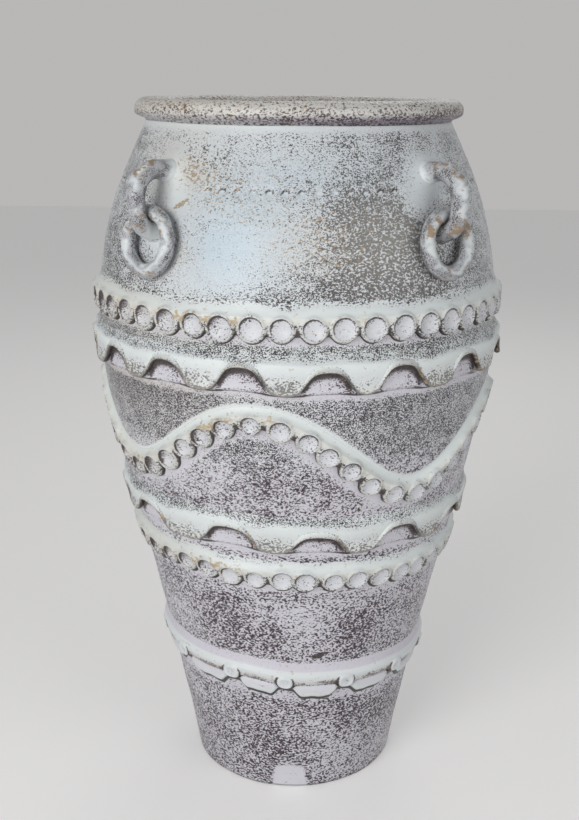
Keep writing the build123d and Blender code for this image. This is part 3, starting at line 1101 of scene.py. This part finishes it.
@dataclass
class DimpledBand(Band):
    """Coil pressed into a row of round cups, with its upper edge smeared on to the wall."""

    cup: float = 9.4
    lip: float = 1.2
    lip_width: float = 1.15
    lip_out: float = 5.6
    lip_rise: float = 0.075
    dish: float = 2.7
    neck: float = 4.6
    neck_rounding: float = 1.6
    crest_out: float = 4.8
    strip_top: float = 16.5
    splay: float = 1.5
    face_rows: int = 44
    cup_shift: float = 0.05
    cup_drop: float = 0.45
    cup_growth: float = 0.04
    rust_angle: float = -26.0
    brown_angle: float = -58.0

    FACE, GOLD, NIBBLE, CUPS = 7, 9, 11, 100

    def build(self, material: Material) -> None:
        """Builds and dresses the band.

        Args:
            material: The finish that it gets.
        """
        angle = all_round(self.around)
        along, drop, size, shade = self._nearest_cup(angle)
        reach = self.cup * size + self.lip
        bulge = np.sqrt(np.clip(1 - (along / reach) ** 2, 0.0, 1.0))
        low = soft_min(-self.neck, drop - reach * bulge, self.neck_rounding)
        across = self._rows(low, (-self.splay, 0.6 - self.splay, 0.0), self.face_rows)
        apart = np.hypot(along, across - drop) / size
        out = self._face(angle, apart, across, low)
        out[:, :2] = TUCKED, 0.4
        out[:, 2] = np.minimum(1.2, out[:, 3])
        out[:, -1] = BURIED
        slope = self.line.slope(angle)
        height = self.line.at(angle) + across * np.cos(slope)
        turned = angle - np.degrees(across * np.sin(slope) / WALL.radius(height))
        paint = self._paint(angle, along, shade, apart, across)
        self._lay(self.node, "coil", WALL.place(turned, height, out), paint, material)

    def _cup_angles(self) -> Array:
        """Angle of each cup, even along the band, with a hand's unevenness.

        Returns:
            Angles round the jar.
        """
        fine = np.linspace(0.0, 360.0, 7201)
        stretch = 1 / np.cos(self.line.slope(fine)) * WALL.radius(self.line.at(fine))
        length = np.concatenate(([0.0], np.cumsum((stretch[1:] + stretch[:-1]) / 2)))
        at = np.interp(self.first % 360.0, fine, length) + np.arange(self.count) / self.count * length[-1]
        draws = np.random.default_rng(self.seed)
        shift = draws.normal(0.0, self.cup_shift, self.count) * 360.0 / self.count
        return np.interp(at % length[-1], length, fine) + shift

    def _nearest_cup(self, angle: Array) -> tuple[Array, Array, Array, Array]:
        """Distance along the band to the nearest cup, and that cup's own drop, size and shade.

        Args:
            angle: Angles round the jar.

        Returns:
            Distance and drop in millimetres, size as a factor and shade from 0 to 1.
        """
        draws = np.random.default_rng(self.seed + self.CUPS)
        drops = draws.normal(0.0, self.cup_drop, self.count)
        sizes = 1 + draws.normal(0.0, self.cup_growth, self.count)
        shades = draws.uniform(0.0, 1.0, self.count)
        apart, cup = nearest_of(angle, self._cup_angles())
        scale = np.radians(1.0) * WALL.radius(self.line.at(angle)) / np.cos(self.line.slope(angle))
        return apart * scale, drops[cup], sizes[cup], shades[cup]

    def _inside(self, apart: Array) -> Array:
        """Share by which a place lies inside a cup's lip."""
        return smooth(self.cup - 0.6, self.cup - 1.7, apart)

    def _face(self, angle: Array, apart: Array, across: Array, low: Array) -> Array:
        """Height of the band's face.

        Args:
            angle: Angles round the jar.
            apart: Distance from the middle of the nearest cup.
            across: Distance across the band from its line.
            low: Lower edge of the band at each angle.

        Returns:
            How far the face stands out from the wall.
        """
        smear = self._smear(across)
        strip = self.crest_out * np.where(across > self.crest, smear**1.7, 1.0)
        strip = strip - 0.05 * np.clip(self.crest - across, 0.0, 20.0)
        lip = self.lip_out + self.lip_rise * across
        ridge = np.maximum(lip - strip, 0.7) * bell(apart - self.cup + 0.5, self.lip_width)
        bowl = lip - 0.9 - self.dish * (1 - np.clip(apart / (self.cup - self.lip), 0.0, 1.0) ** 2)
        out = blend(strip + ridge, bowl, self._inside(apart))
        uneven = 0.12 * Wobble(self.seed + self.FACE).at(angle, 9 * across)
        return out - 1.6 * np.exp(-(across - low) / 0.7) + uneven

    def _paint(self, angle: Array, along: Array, shade: Array, apart: Array, across: Array) -> Paint:
        """White strip, speckled white dishes with painted shade in their upper left, painted shadow lines
        inside the lips, a dark line under the coil that is partly painted shadow, and brown necks.

        Args:
            angle: Angles round the jar.
            along: Distance along the band from the nearest cup.
            shade: That cup's own shade.
            apart: Distance from the middle of the nearest cup.
            across: Distance across the band from its line.

        Returns:
            The band's paint.
        """
        inside = self._inside(apart)
        # Upper-left part of each dish, where brown specks and painted shade gather.
        corner = smooth(-0.2, 1.0, (across - along) / (1.3 * self.cup))
        far_left = facing_to(angle, self.brown_angle, 26.0)
        dish = 0.80 - 0.12 * corner - 0.12 * shade - 0.18 * far_left
        nibble = across + 2.2 * Wobble(self.seed + self.NIBBLE, NIBBLES).at(angle)
        strip = blend(0.45, FULL_SLIP, smooth(1.0, 7.0, across))
        strip = blend(strip, 0.52, smooth(self.strip_top - 5.0, self.strip_top + 2.0, nibble))
        rubbed_lip = 0.75 * bell(apart - self.cup + 0.3, 0.9)
        # Painted shadow: dark line just inside each lip, strongest on its upper side.
        line = bell(apart - self.cup + 1.5, 0.6) * (0.30 + 0.45 * smooth(-4.0, 7.0, across))
        flecks_and_shade = 0.04 + 0.30 * corner + 0.14 * shade * corner + 0.16 * far_left
        neck = (1 - smooth(self.cup + 2.2, self.cup - 0.2, apart)) * smooth(4.0, -1.0, across)
        stain_and_shade = np.maximum(inside * flecks_and_shade + line, 0.62 * neck)
        # Dark line along the foot of the coil: partly dark clay, partly painted shadow.
        stain_and_shade[:, :3] = 0.85
        stain_and_shade[:, 3] = 0.5
        left = facing_to(angle, self.rust_angle, 32.0)
        gold = bell(across - 5.0, 4.5) * (1 - inside) * (0.14 + 0.75 * left)
        return Paint(
            slip=blend(blend(strip, dish, inside), 0.62, rubbed_lip),
            stain_and_shade=stain_and_shade,
            rust=gold * smooth(-0.6, 0.5, Wobble(self.seed + self.GOLD, (7, 11, 17, 23)).at(angle)),
            lilac=0.45 * inside,
            warm=0.5 * (1 - inside) * smooth(11.0, 5.0, across) + 0.35 * far_left,
            coarse=0.6,
        )


@dataclass
class WavyBand(Band):
    """Strip whose lower edge is pushed up into arches, each over a thin pressed lip of clay."""

    rise: float = 19.0
    arch_shift: float = 0.05
    arch_growth: float = 0.05
    arch_fullness: float = 1.5
    top: float = 32.0
    crest: float = 24.0
    out: float = 6.6
    lip: float = 2.0
    lip_low: float = -0.4
    lip_dish: float = 1.3
    under_across: tuple[float, ...] = (1.6, 0.7, 0.2)
    under_out: tuple[float, ...] = (2.2, 2.9, 4.0)
    fade: float = 24.5
    splay: float = 1.8
    lip_rows: int = 10
    face_rows: int = 36

    FACE, RUST, NIBBLE, TONGUE = 3, 5, 11, 17

    def build(self, material: Material) -> None:
        """Builds and dresses the band.

        Args:
            material: The finish that it gets.
        """
        angle = all_round(self.around)
        arch, lift, side = self._arches(angle)
        low = self.rise * lift * arch
        lip_share = np.linspace(0.0, 1.0, self.lip_rows)
        lip_across = self.lip_low + (low + 1.9) * lip_share
        lip_across[:, :1] = self.lip_low - self.splay * (1 - arch)
        pressed = np.sin(math.pi * lip_share) * np.clip(low / self.rise, 0.0, 1.0)
        lip_out = self.lip - self.lip_dish * pressed
        lip_out[:, 0] = TUCKED
        lip_out[:, 1] = np.minimum(lip_out[:, 1], self.lip - 0.4)
        under_across = low + np.array(self.under_across)
        under_out = np.broadcast_to(self.under_out, under_across.shape)
        face_across = low + np.linspace(0.0, 1.0, self.face_rows) ** 1.2 * (self.top - low)
        face_out = self._face(angle, arch, low, face_across)
        face_out[:, -1] = BURIED
        across = np.concatenate((lip_across, under_across, face_across), axis=1)
        out = np.concatenate((lip_out, under_out, face_out), axis=1)
        paint = self._paint(angle, arch, side, low, across)
        self._lay(self.node, "strip", self._upright(angle, across, out), paint, material)

    def _arches(self, angle: Array) -> tuple[Array, Array, Array]:
        """Shape of the arches at each angle.

        Args:
            angle: Angles round the jar.

        Returns:
            Share of an arch's height, each arch's own strength, and the side of it, -1 to 1.
        """
        draws = np.random.default_rng(self.seed)
        step = 360.0 / self.count
        shift = draws.normal(0.0, self.arch_shift, self.count) * step
        strength = 1 + draws.normal(0.0, self.arch_growth, self.count)
        apart, number = nearest_of(angle, self.first + step * np.arange(self.count) + shift)
        share = apart / step
        wave = np.tanh(self.arch_fullness * np.cos(2 * math.pi * np.clip(share, -0.5, 0.5)))
        arch = 0.5 + 0.5 * (wave / math.tanh(self.arch_fullness))
        return arch, strength[number], np.sin(2 * math.pi * share)

    def _face(self, angle: Array, arch: Array, low: Array, across: Array) -> Array:
        """How far the strip's face stands out; its edge is rolled, thickest over the arches.

        Args:
            angle: Angles round the jar.
            arch: Share of an arch's height.
            low: Lower edge of the strip.
            across: Distance across the band from its line.

        Returns:
            Distance out from the wall.
        """
        smear = self._smear(across)
        from_edge = across - low
        body = self.out * smear**1.4 * (0.68 + 0.12 * (1 - arch))
        roll = (0.5 + 2.0 * arch) * bell(from_edge - 1.9, 1.8)
        groove = 0.7 * arch * bell(from_edge - 5.0, 1.0)
        curl = 1.8 * (1 - arch) * smooth(14.0, 1.0, across)
        face = body + roll - groove + curl - 2.4 * np.exp(-from_edge / 0.6)
        return np.maximum(face + 0.15 * Wobble(self.seed + self.FACE).at(angle, 8 * across), BURIED)

    def _paint(self, angle: Array, arch: Array, side: Array, low: Array, across: Array) -> Paint:
        """White slip on the strip, speckled tongues, painted shade under the arches and in the groove, and
        a painted shadow along the edge.

        Args:
            angle: Angles round the jar.
            arch: Share of an arch's height.
            side: Side of the nearest arch.
            low: Lower edge of the strip.
            across: Distance across the band from its line.

        Returns:
            The band's paint.
        """
        from_edge = across - low
        face_start = self.lip_rows + len(self.under_across)
        face = np.zeros(across.shape)
        face[:, face_start:] = 1.0
        patchy = smooth(-1.0, 0.5, Wobble(self.seed + self.TONGUE, (5, 8, 11)).at(angle))
        tongue = (1 - arch) * smooth(24.0, 7.0, across) * (0.75 + 0.25 * patchy)
        roll = bell(from_edge - 1.5, 1.5) * face
        flank = 4 * arch * (1 - arch) * bell(from_edge - 2.0, 5.0) * face
        # Painted shade under each arch.
        shade = bell(from_edge + 0.2, 6.0) * (1 - face) * smooth(0.0, 0.5, arch)
        # Painted shade in the groove above the rolled edge.
        groove = bell(from_edge - 5.0, 0.8) * face * arch
        nibble = across + 2.0 * Wobble(self.seed + self.NIBBLE, NIBBLES).at(angle)
        strip = FULL_SLIP - 0.56 * tongue - 0.46 * roll * (0.4 + 0.6 * arch)
        strip = strip - (0.14 + 0.14 * side) * flank
        strip = blend(strip, 0.48, smooth(self.fade - 3.0, self.fade + 3.0, nibble))
        # Painted shadow: dark line along the strip's lower edge.
        stain_and_shade = np.maximum(0.65 * (bell(from_edge, 0.9) * face), (0.66 - 0.12 * side) * shade)
        stain_and_shade = np.maximum(stain_and_shade, 0.30 * groove + (0.24 + 0.14 * side) * flank)
        # Painted shade on the underside of the rolled edge.
        stain_and_shade[:, self.lip_rows : face_start] = 0.85
        # Dark line under the tongues: partly dark clay, partly painted shadow.
        stain_and_shade[:, :2] = 0.25 + 0.60 * (1 - arch)
        rust = (0.26 + 0.24 * side) * flank + 0.34 * tongue * bell(from_edge, 7.0) * face
        return Paint(
            slip=blend(0.66 - 0.10 * side - 0.25 * shade, strip, face),
            stain_and_shade=stain_and_shade + (0.12 * tongue * face + 0.14 * roll + 0.08 * (1 - face)),
            rust=rust * smooth(-0.7, 0.5, Wobble(self.seed + self.RUST, (4, 7, 13, 19)).at(angle)),
            earth=np.maximum(0.7 * roll + 0.85 * tongue, 0.8 * flank) * face,
            lilac=0.8 * (1 - face),
            warm=face * (0.80 * roll + 0.20 * tongue),
            coarse=0.25 + 0.6 * tongue + 0.3 * (1 - face),
        )


@dataclass
class FootBand(Band):
    """Two coils side by side round the foot, pinched together at intervals."""

    around: int = 1000
    pinch_shift: float = 0.04
    crest: float = 9.0
    out: float = 5.0
    knob: float = 6.9
    knob_out: float = 1.7
    knob_hang: float = 3.6
    knob_height: float = 3.0
    knob_squareness: float = 2.3
    dish: float = 1.1
    strip_top: float = 13.0
    coil_width: float = 13.0
    coil_out: float = 4.2
    coil_uneven: float = 1.0
    notch: float = 7.6
    splay: float = 4.4
    gap: float = 0.7
    face_rows: int = 34
    coil_rows: int = 22

    FACE, COIL, FRINGE, KNOB = 2, 4, 6, 8

    def build(self, material: Material) -> None:
        """Builds and dresses both coils.

        Args:
            material: The finish that it gets.
        """
        angle = all_round(self.around)
        along = self._nearest_pinch(angle)
        self._build_upper(angle, along, material)
        self._build_lower(angle, along, material)

    def _nearest_pinch(self, angle: Array) -> Array:
        """Distance along the band to the nearest pinch.

        Args:
            angle: Angles round the jar.

        Returns:
            Signed millimetres.
        """
        shift = np.random.default_rng(self.seed).normal(0.0, self.pinch_shift, self.count)
        centres = self.first + 360.0 / self.count * (np.arange(self.count) + shift)
        return np.radians(nearest_of(angle, centres)[0]) * WALL.radius(self.line.height)

    def _pad(self, along: Array, extra: float = 0.0) -> Array:
        """Share by which a pinched knob hangs over the coil below it."""
        return smooth(self.knob + 1.5 + extra, self.knob - 2.5 + extra, np.abs(along))

    def _build_upper(self, angle: Array, along: Array, material: Material) -> None:
        """Upper coil: a smeared strip with a pressed hollow at each pinch.

        Args:
            angle: Angles round the jar.
            along: Distance along the band from the nearest pinch.
            material: Its finish.
        """
        low = -self.knob_hang * self._pad(along)
        across = self._rows(low, (1.2, 0.6, 0.1), self.face_rows)
        smear = self._smear(across)
        power = self.knob_squareness
        apart = (np.abs(along) ** power + np.abs(across - self.knob_height) ** power) ** (1 / power)
        apart = apart * (1 + 0.10 * Wobble(self.seed + self.KNOB, (9, 14, 23)).at(angle))
        knob = smooth(self.knob + 0.9, self.knob - 1.6, apart)
        hollow = np.clip(1 - (apart / (self.knob - 1.5)) ** 2, 0.0, 1.0)
        out = self.out * smear**1.6 + self.knob_out * knob - self.dish * hollow
        out = out - 1.8 * np.exp(-(across - low) / 0.7)
        out = out + 0.15 * Wobble(self.seed + self.FACE).at(angle, 8 * across)
        out[:, :3] = -1.6, 0.6, 2.2
        out[:, -1] = BURIED
        fringe = smooth(8.5, 2.5, across) * (1 - knob)
        fringe = fringe * smooth(-1.5, 0.2, Wobble(self.seed + self.FRINGE, (5, 8, 13, 21)).at(angle))
        wash = smooth(self.strip_top - 0.6, self.strip_top + 0.8, across)
        outline = bell(apart - self.knob - 0.6, 0.75) * smooth(9.5, 7.0, across)
        smudge = bell(along + self.knob + 2.0, 2.6) * smooth(9.0, 4.0, across)
        # Painted shade in each knob's pressed hollow and round the knob's edge; the smudge and fringe are
        # brown marks.
        stain_and_shade = 0.72 * outline + 0.28 * hollow + 0.26 * smudge * (1 - knob) + 0.26 * fringe
        # Dark line under the coil: partly dark clay, partly painted shadow.
        stain_and_shade[:, :4] = 0.9
        paint = Paint(
            slip=FULL_SLIP - 0.60 * fringe - 0.22 * hollow - 0.18 * wash,
            stain_and_shade=stain_and_shade,
            rust=0.30 * fringe,
            earth=0.6 * fringe,
            lilac=0.25 + 0.70 * wash,
            warm=0.5 * fringe,
            coarse=0.5,
        )
        self._lay(f"{self.node}_upper", "coil", self._upright(angle, across, out), paint, material)

    def _build_lower(self, angle: Array, along: Array, material: Material) -> None:
        """Lower coil: tongues with slanted ends, drawn thin under each knob.

        Args:
            angle: Angles round the jar.
            along: Distance along the band from the nearest pinch.
            material: Its finish.
        """
        high = -self.gap - self.knob_hang * self._pad(along, 1.0)
        low = -self.coil_width - self.gap + self.notch * smooth(14.0, 5.0, np.abs(along))
        low = low + self.coil_uneven * Wobble(self.seed + self.COIL, (3, 8, 19, 31, 53)).at(angle)
        turn = np.linspace(-0.5 * math.pi, 0.5 * math.pi, self.coil_rows)
        across = (high + low) / 2 + (high - low) / 2 * np.sin(turn)
        thin = 1 - 0.45 * self._pad(along, 1.0)
        out = BURIED + (self.coil_out - BURIED) * np.sqrt(np.clip(np.cos(turn), 0.0, 1.0)) * thin
        # Painted shadow under the upper coil and under each knob.
        stain_and_shade = 0.85 * bell(across - high, 0.9) + 0.6 * self._pad(along)
        # Dark line under the coil: partly dark clay, partly painted shadow.
        stain_and_shade[:, :4] = 0.9
        # Lilac towards the top of the coil: painted shade under the upper coil.
        paint = Paint(slip=FULL_SLIP, stain_and_shade=stain_and_shade, lilac=0.10 + 0.65 * smooth(3.5, 8.0, across - low))
        across[:, :3] = np.concatenate((low - self.splay, low - self.splay + 0.6, low - 0.8), axis=1)
        out[:, :3] = TUCKED, 0.3, 0.6
        self._lay(f"{self.node}_lower", "coil", self._upright(angle, across, out), paint, material)


@dataclass
class LugAndRing:
    """A lug loop luted to the shoulder, and the loose ring that hangs in it."""

    side: Side
    lug_coil: float = 6.8
    root_flare: float = 1.55
    flare_reach: tuple[float, float] = (9.0, -2.0)
    thick_top: float = 0.07
    thick_heights: tuple[float, float] = (524.0, 540.0)
    corners: tuple[tuple[float, float], ...] = (
        (137.0, 546.587),
        (180.0, 555.0),
        (176.0, 509.0),
        (150.5, 501.5),
    )
    bends: tuple[float, ...] = (19.0, 13.3)
    bend_steps: int = 12
    voxel: float = 0.8
    rubs: int = 8
    hang: tuple[float, float] = (163.628, 519.322)
    ring_lean: float = 10.48
    ring_middle: float = 22.0
    ring_coil: float = 5.9
    ring_uneven: float = 0.03
    ring_steps: tuple[int, int] = (120, 36)
    seed: int = 61

    PATCHES = 8

    def build(self, material: Material) -> None:
        """Builds and dresses both pieces."""
        self._build_lug(material)
        self._build_ring(material)

    def _outward(self) -> Array:
        """Level unit vector that points away from the jar at this lug."""
        turn = math.radians(self.side.value)
        return np.array([math.sin(turn), -math.cos(turn), 0.0])

    def _path(self) -> list[Vector]:
        """Middle line of the lug as (radius, height) points, with both corners rounded.

        Returns:
            The points, from the upper root to the lower one.
        """
        corners = [Vector(corner) for corner in self.corners]
        path = [corners[0]]
        for i, bend in enumerate(self.bends, start=1):
            back = (corners[i - 1] - corners[i]).normalized()
            ahead = (corners[i + 1] - corners[i]).normalized()
            half = back.angle(ahead) / 2
            centre = corners[i] + (back + ahead).normalized() * bend / math.sin(half)
            start = corners[i] + back * bend / math.tan(half) - centre
            sweep = math.pi - 2 * half
            for k in range(self.bend_steps + 1):
                path.append(centre + Matrix.Rotation(-sweep * k / self.bend_steps, 2) @ start)
        return [*path, corners[-1]]

    def _build_lug(self, material: Material) -> None:
        """Round coil on the lug's path, spread where it meets the wall.

        Args:
            material: The finish that it gets.
        """
        path, out = self._path(), self._outward()
        curve = bpy.data.curves.new(f"lug_{self.side.word}_loop", "CURVE")
        curve.dimensions = "3D"
        curve.bevel_depth = self.lug_coil * MM
        curve.bevel_resolution = 6
        curve.use_fill_caps = True
        spline = curve.splines.new("POLY")
        spline.points.add(len(path) - 1)
        for point, (radius, height) in zip(spline.points, path):
            point.co = (*(out[:2] * radius * MM), height * MM, 1.0)
            clear = radius - float(WALL.radius(height))
            point.radius = 1 + (self.root_flare - 1) * float(smooth(*self.flare_reach, clear))
            point.radius += self.thick_top * float(smooth(*self.thick_heights, height))
        deselect()
        lug = bpy.data.objects.new(curve.name, curve)
        bpy.context.collection.objects.link(lug)
        lug.select_set(True)
        bpy.context.view_layer.objects.active = lug
        bpy.ops.object.convert(target="MESH")
        lug = bpy.context.object
        remesh = lug.modifiers.new("clay", "REMESH")
        remesh.mode = "VOXEL"
        remesh.voxel_size = self.voxel * MM
        bpy.ops.object.modifier_apply(modifier=remesh.name)
        soften = lug.modifiers.new("rubbed", "SMOOTH")
        soften.iterations = self.rubs
        bpy.ops.object.modifier_apply(modifier=soften.name)
        self._paint(lug)
        dress(lug, material, "jar", "handle_clay", f"lug_{self.side.word}")

    def _build_ring(self, material: Material) -> None:
        """Loose ring, rolled a little unevenly by hand.

        Args:
            material: The finish that it gets.
        """
        turns, coils = (np.linspace(0.0, 2 * math.pi, steps, endpoint=False) for steps in self.ring_steps)
        turn, round_coil = turns[:, None], coils[None, :]
        rolled = Wobble(self.seed + int(self.side.value) % 360, (1, 2, 3, 5))
        uneven = rolled.at(np.degrees(turn), 40 * round_coil)
        coil = self.ring_coil * (1 - self.ring_uneven * np.abs(uneven))
        lean, out = math.radians(self.ring_lean), self._outward()
        up = np.array([0.0, 0.0, 1.0])
        facing = up * math.sin(lean) + out * math.cos(lean)
        down = out * math.sin(lean) - up * math.cos(lean)
        aside = np.cross(facing, down)
        middle = out * self.hang[0] + up * self.hang[1] + down * self.ring_middle
        reach = self.ring_middle + coil * np.cos(round_coil)
        flat = np.cos(turn)[..., None] * down + np.sin(turn)[..., None] * aside
        points = middle + reach[..., None] * flat + (coil * np.sin(round_coil))[..., None] * facing
        ring = closed_ring(f"ring_{self.side.word}_loop", points)
        self._paint(ring)
        dress(ring, material, f"ring_{self.side.word}", "handle_clay", f"ring_{self.side.word}")

    def _paint(self, piece: bpy.types.Object) -> None:
        """Grey-white slip with a painted highlight on what faces up and out, rust in patches, painted shade
        underneath and towards the wall.

        Args:
            piece: The lug or ring to paint.
        """
        mesh = piece.data
        mesh.update()
        normals, places = (np.empty(len(mesh.vertices) * 3, np.float32) for _ in range(2))
        mesh.vertex_normals.foreach_get("vector", normals)
        mesh.vertices.foreach_get("co", places)
        normals, places = normals.reshape(-1, 3), places.reshape(-1, 3) / MM
        up, height = normals[:, 2], places[:, 2]
        facing = normals @ self._outward()
        off_wall = np.hypot(places[:, 0], places[:, 1]) - WALL.radius(height)
        on_left = self.side.value < 0
        root = smooth(15.0, 5.0, off_wall) * smooth(532.0, 538.0, height)
        if on_left and piece.name.startswith("lug"):
            root = np.maximum(root, smooth(24.0, 11.0, off_wall) * smooth(520.0, 511.0, height))
        patches = Wobble(self.seed + self.PATCHES, (2, 3, 5, 8), 0.09).at(places[:, 0] * 4, height)
        streak = np.sin(5.0 * np.arctan2(up, facing) + 2.0 * patches)
        # Painted highlight: more slip on what faces up and out.
        painted_highlight = smooth(0.2, 0.95, facing + 0.35 * up)
        # Painted shade on what faces down and towards the wall.
        shade = 0.22 * smooth(0.0, -0.9, up) + 0.40 * smooth(0.1, -0.7, facing)
        bend = smooth(524.0, 512.0, height) * smooth(500.0, 508.0, height) * smooth(-0.1, 0.6, facing)
        bend = bend * (0.5 if on_left else 0.85)
        ridge = smooth(0.2, 0.8, up) * smooth(540.0, 548.0, height) * (1 - root)
        rust = 0.25 * smooth(0.2, 1.0, patches) + bend + 0.45 * smooth(486.0, 474.0, height) + 0.45 * ridge
        paint = Paint(
            slip=blend(0.50 + 0.24 * painted_highlight + 0.16 * streak + 0.08 * patches, FULL_SLIP, root),
            stain_and_shade=shade * (1 - root),
            rust=rust * (1 - root),
            # Painted shade: lilac on what faces down.
            lilac=0.6 * smooth(0.4, -0.5, up) * (1 - root),
            coarse=0.1,
        )
        paint.store(mesh, (len(places),))


@dataclass(frozen=True)
class Lamp:
    """Square soft lamp that looks at the jar's middle."""

    name: str
    place: tuple[float, float, float]
    size: float
    power: float
    target: float = 330.0

    def build(self) -> None:
        """Adds the lamp to the scene."""
        light = bpy.data.lights.new(self.name, "AREA")
        light.size = self.size * MM
        light.energy = self.power
        lamp = bpy.data.objects.new(self.name, light)
        lamp.location = Vector(self.place) * MM
        aim = Vector((0, 0, self.target * MM)) - lamp.location
        lamp.rotation_euler = aim.to_track_quat("-Z", "Y").to_euler()
        bpy.context.collection.objects.link(lamp)


@dataclass
class Studio:
    """Pale floor, soft lamps and the camera at the photograph's angle."""

    picture: tuple[int, int] = (579, 820)
    focal_pixels: float = 1100.0
    centre_pixel: float = 296.4
    distance: float = 949.1
    eye_height: float = 616.8
    look_down: float = 16.86
    roll: float = 0.45
    sensor: float = 36.0
    floor_tone: Colour = (0.78, 0.77, 0.76)
    floor_size: float = 9000.0
    floor_roughness: float = 0.9
    floor_lift: float = 0.30
    backdrop: float = 0.62
    surround: float = 0.27
    surround_tone: Colour = (0.92, 0.93, 0.95)
    lamps: tuple[Lamp, ...] = (
        Lamp("key", (-900.0, -1500.0, 850.0), 1000.0, 18.5),
        Lamp("fill", (1300.0, -1100.0, 600.0), 1200.0, 6.5),
        Lamp("back", (300.0, 1300.0, 1500.0), 1000.0, 5.0),
    )

    def build(self) -> None:
        """Sets up floor, lamps, world and camera."""
        self._floor()
        for lamp in self.lamps:
            lamp.build()
        self._world()
        self._camera()

    def _floor(self) -> None:
        """Plain pale floor, which looks a little paler than the light on it makes it."""
        deselect()
        bpy.ops.mesh.primitive_plane_add(size=self.floor_size * MM)
        floor = bpy.context.object
        floor.name = floor.data.name = "studio_floor"
        material = bpy.data.materials.new("pale_floor")
        tree = Nodes(material)
        feeds = {"Base Color": self.floor_tone, "Roughness": self.floor_roughness}
        matte = tree.add("BsdfPrincipled", feeds)
        strength = tree.math("MULTIPLY", tree.seen(), self.floor_lift)
        lift = tree.add("Emission", {"Color": self.floor_tone, "Strength": strength})
        tree.output(tree.add("AddShader", {0: matte.outputs[0], 1: lift.outputs[0]}))
        floor.data.materials.append(material)

    def _world(self) -> None:
        """Even pale surroundings, which look paler than the light that they give."""
        world = bpy.data.worlds.new("studio")
        tree = Nodes(world)
        surround = tree.add("Background", {"Color": self.surround_tone, "Strength": self.surround})
        backdrop = tree.add("Background", {"Color": self.floor_tone, "Strength": self.backdrop})
        feeds = {0: tree.seen(), 1: surround.outputs[0], 2: backdrop.outputs[0]}
        tree.output(tree.add("MixShader", feeds), "World")
        bpy.context.scene.world = world

    def _camera(self) -> None:
        """Camera where the photograph was taken from."""
        data = bpy.data.cameras.new("camera")
        data.sensor_width = self.sensor
        data.lens = self.focal_pixels * self.sensor / max(self.picture)
        data.shift_x = (self.picture[0] / 2 - self.centre_pixel) / max(self.picture)
        camera = bpy.data.objects.new("camera", data)
        stand = Matrix.Translation((0, -self.distance * MM, self.eye_height * MM))
        tilt = Matrix.Rotation(math.radians(90.0 - self.look_down), 4, "X")
        camera.matrix_world = stand @ tilt @ Matrix.Rotation(math.radians(self.roll), 4, "Z")
        bpy.context.collection.objects.link(camera)
        bpy.context.scene.camera = camera


def main() -> None:
    """Builds the jar piece by piece, then the studio round it."""
    logging.basicConfig(level=logging.INFO)
    bpy.context.scene.view_settings.view_transform = "Standard"
    jar, rim = JAR_FINISH.material(), RIM_FINISH.material()
    band, handle = BAND_FINISH.material(), HANDLE_FINISH.material()
    BaseSlab().build(jar)
    WallSection("foot_section", 14.0, 265.5, 0.8, 130).build(jar)
    WallSection("belly_section", 265.5, 401.5, 265.5, 84).build(jar)
    WallSection("shoulder_section", 401.5, 583.0, 401.5, 130).build(jar)
    RimCoil().build(rim)
    waved = {"cup": 8.6, "top": 14.0, "crest": 7.0, "neck": 3.8, "strip_top": 18.0, "splay": 1.2}
    small = {"cup": 8.7, "top": 17.0, "strip_top": 15.0, "splay": 3.6}
    DimpledBand("upper_dimpled_band", UPPER_CUPS, 47, -3.8, seed=71).build(band)
    WavyBand("upper_wavy_band", UPPER_WAVES, 17, -14.4, seed=81).build(band)
    DimpledBand("serpentine_band", SERPENTINE, 52, -11.5, seed=72, **waved).build(band)
    WavyBand("lower_wavy_band", LOWER_WAVES, 13, 4.6, rise=18.0, out=6.0, splay=3.8, seed=82).build(band)
    DimpledBand("lower_dimpled_band", LOWER_CUPS, 42, 3.8, seed=73, **small).build(band)
    FootBand("foot_band", FOOT_LINE, 14, -3.1, seed=51).build(band)
    for side in Side:
        LugAndRing(side).build(handle)
    Studio().build()


if __name__ == "__main__":
    main()
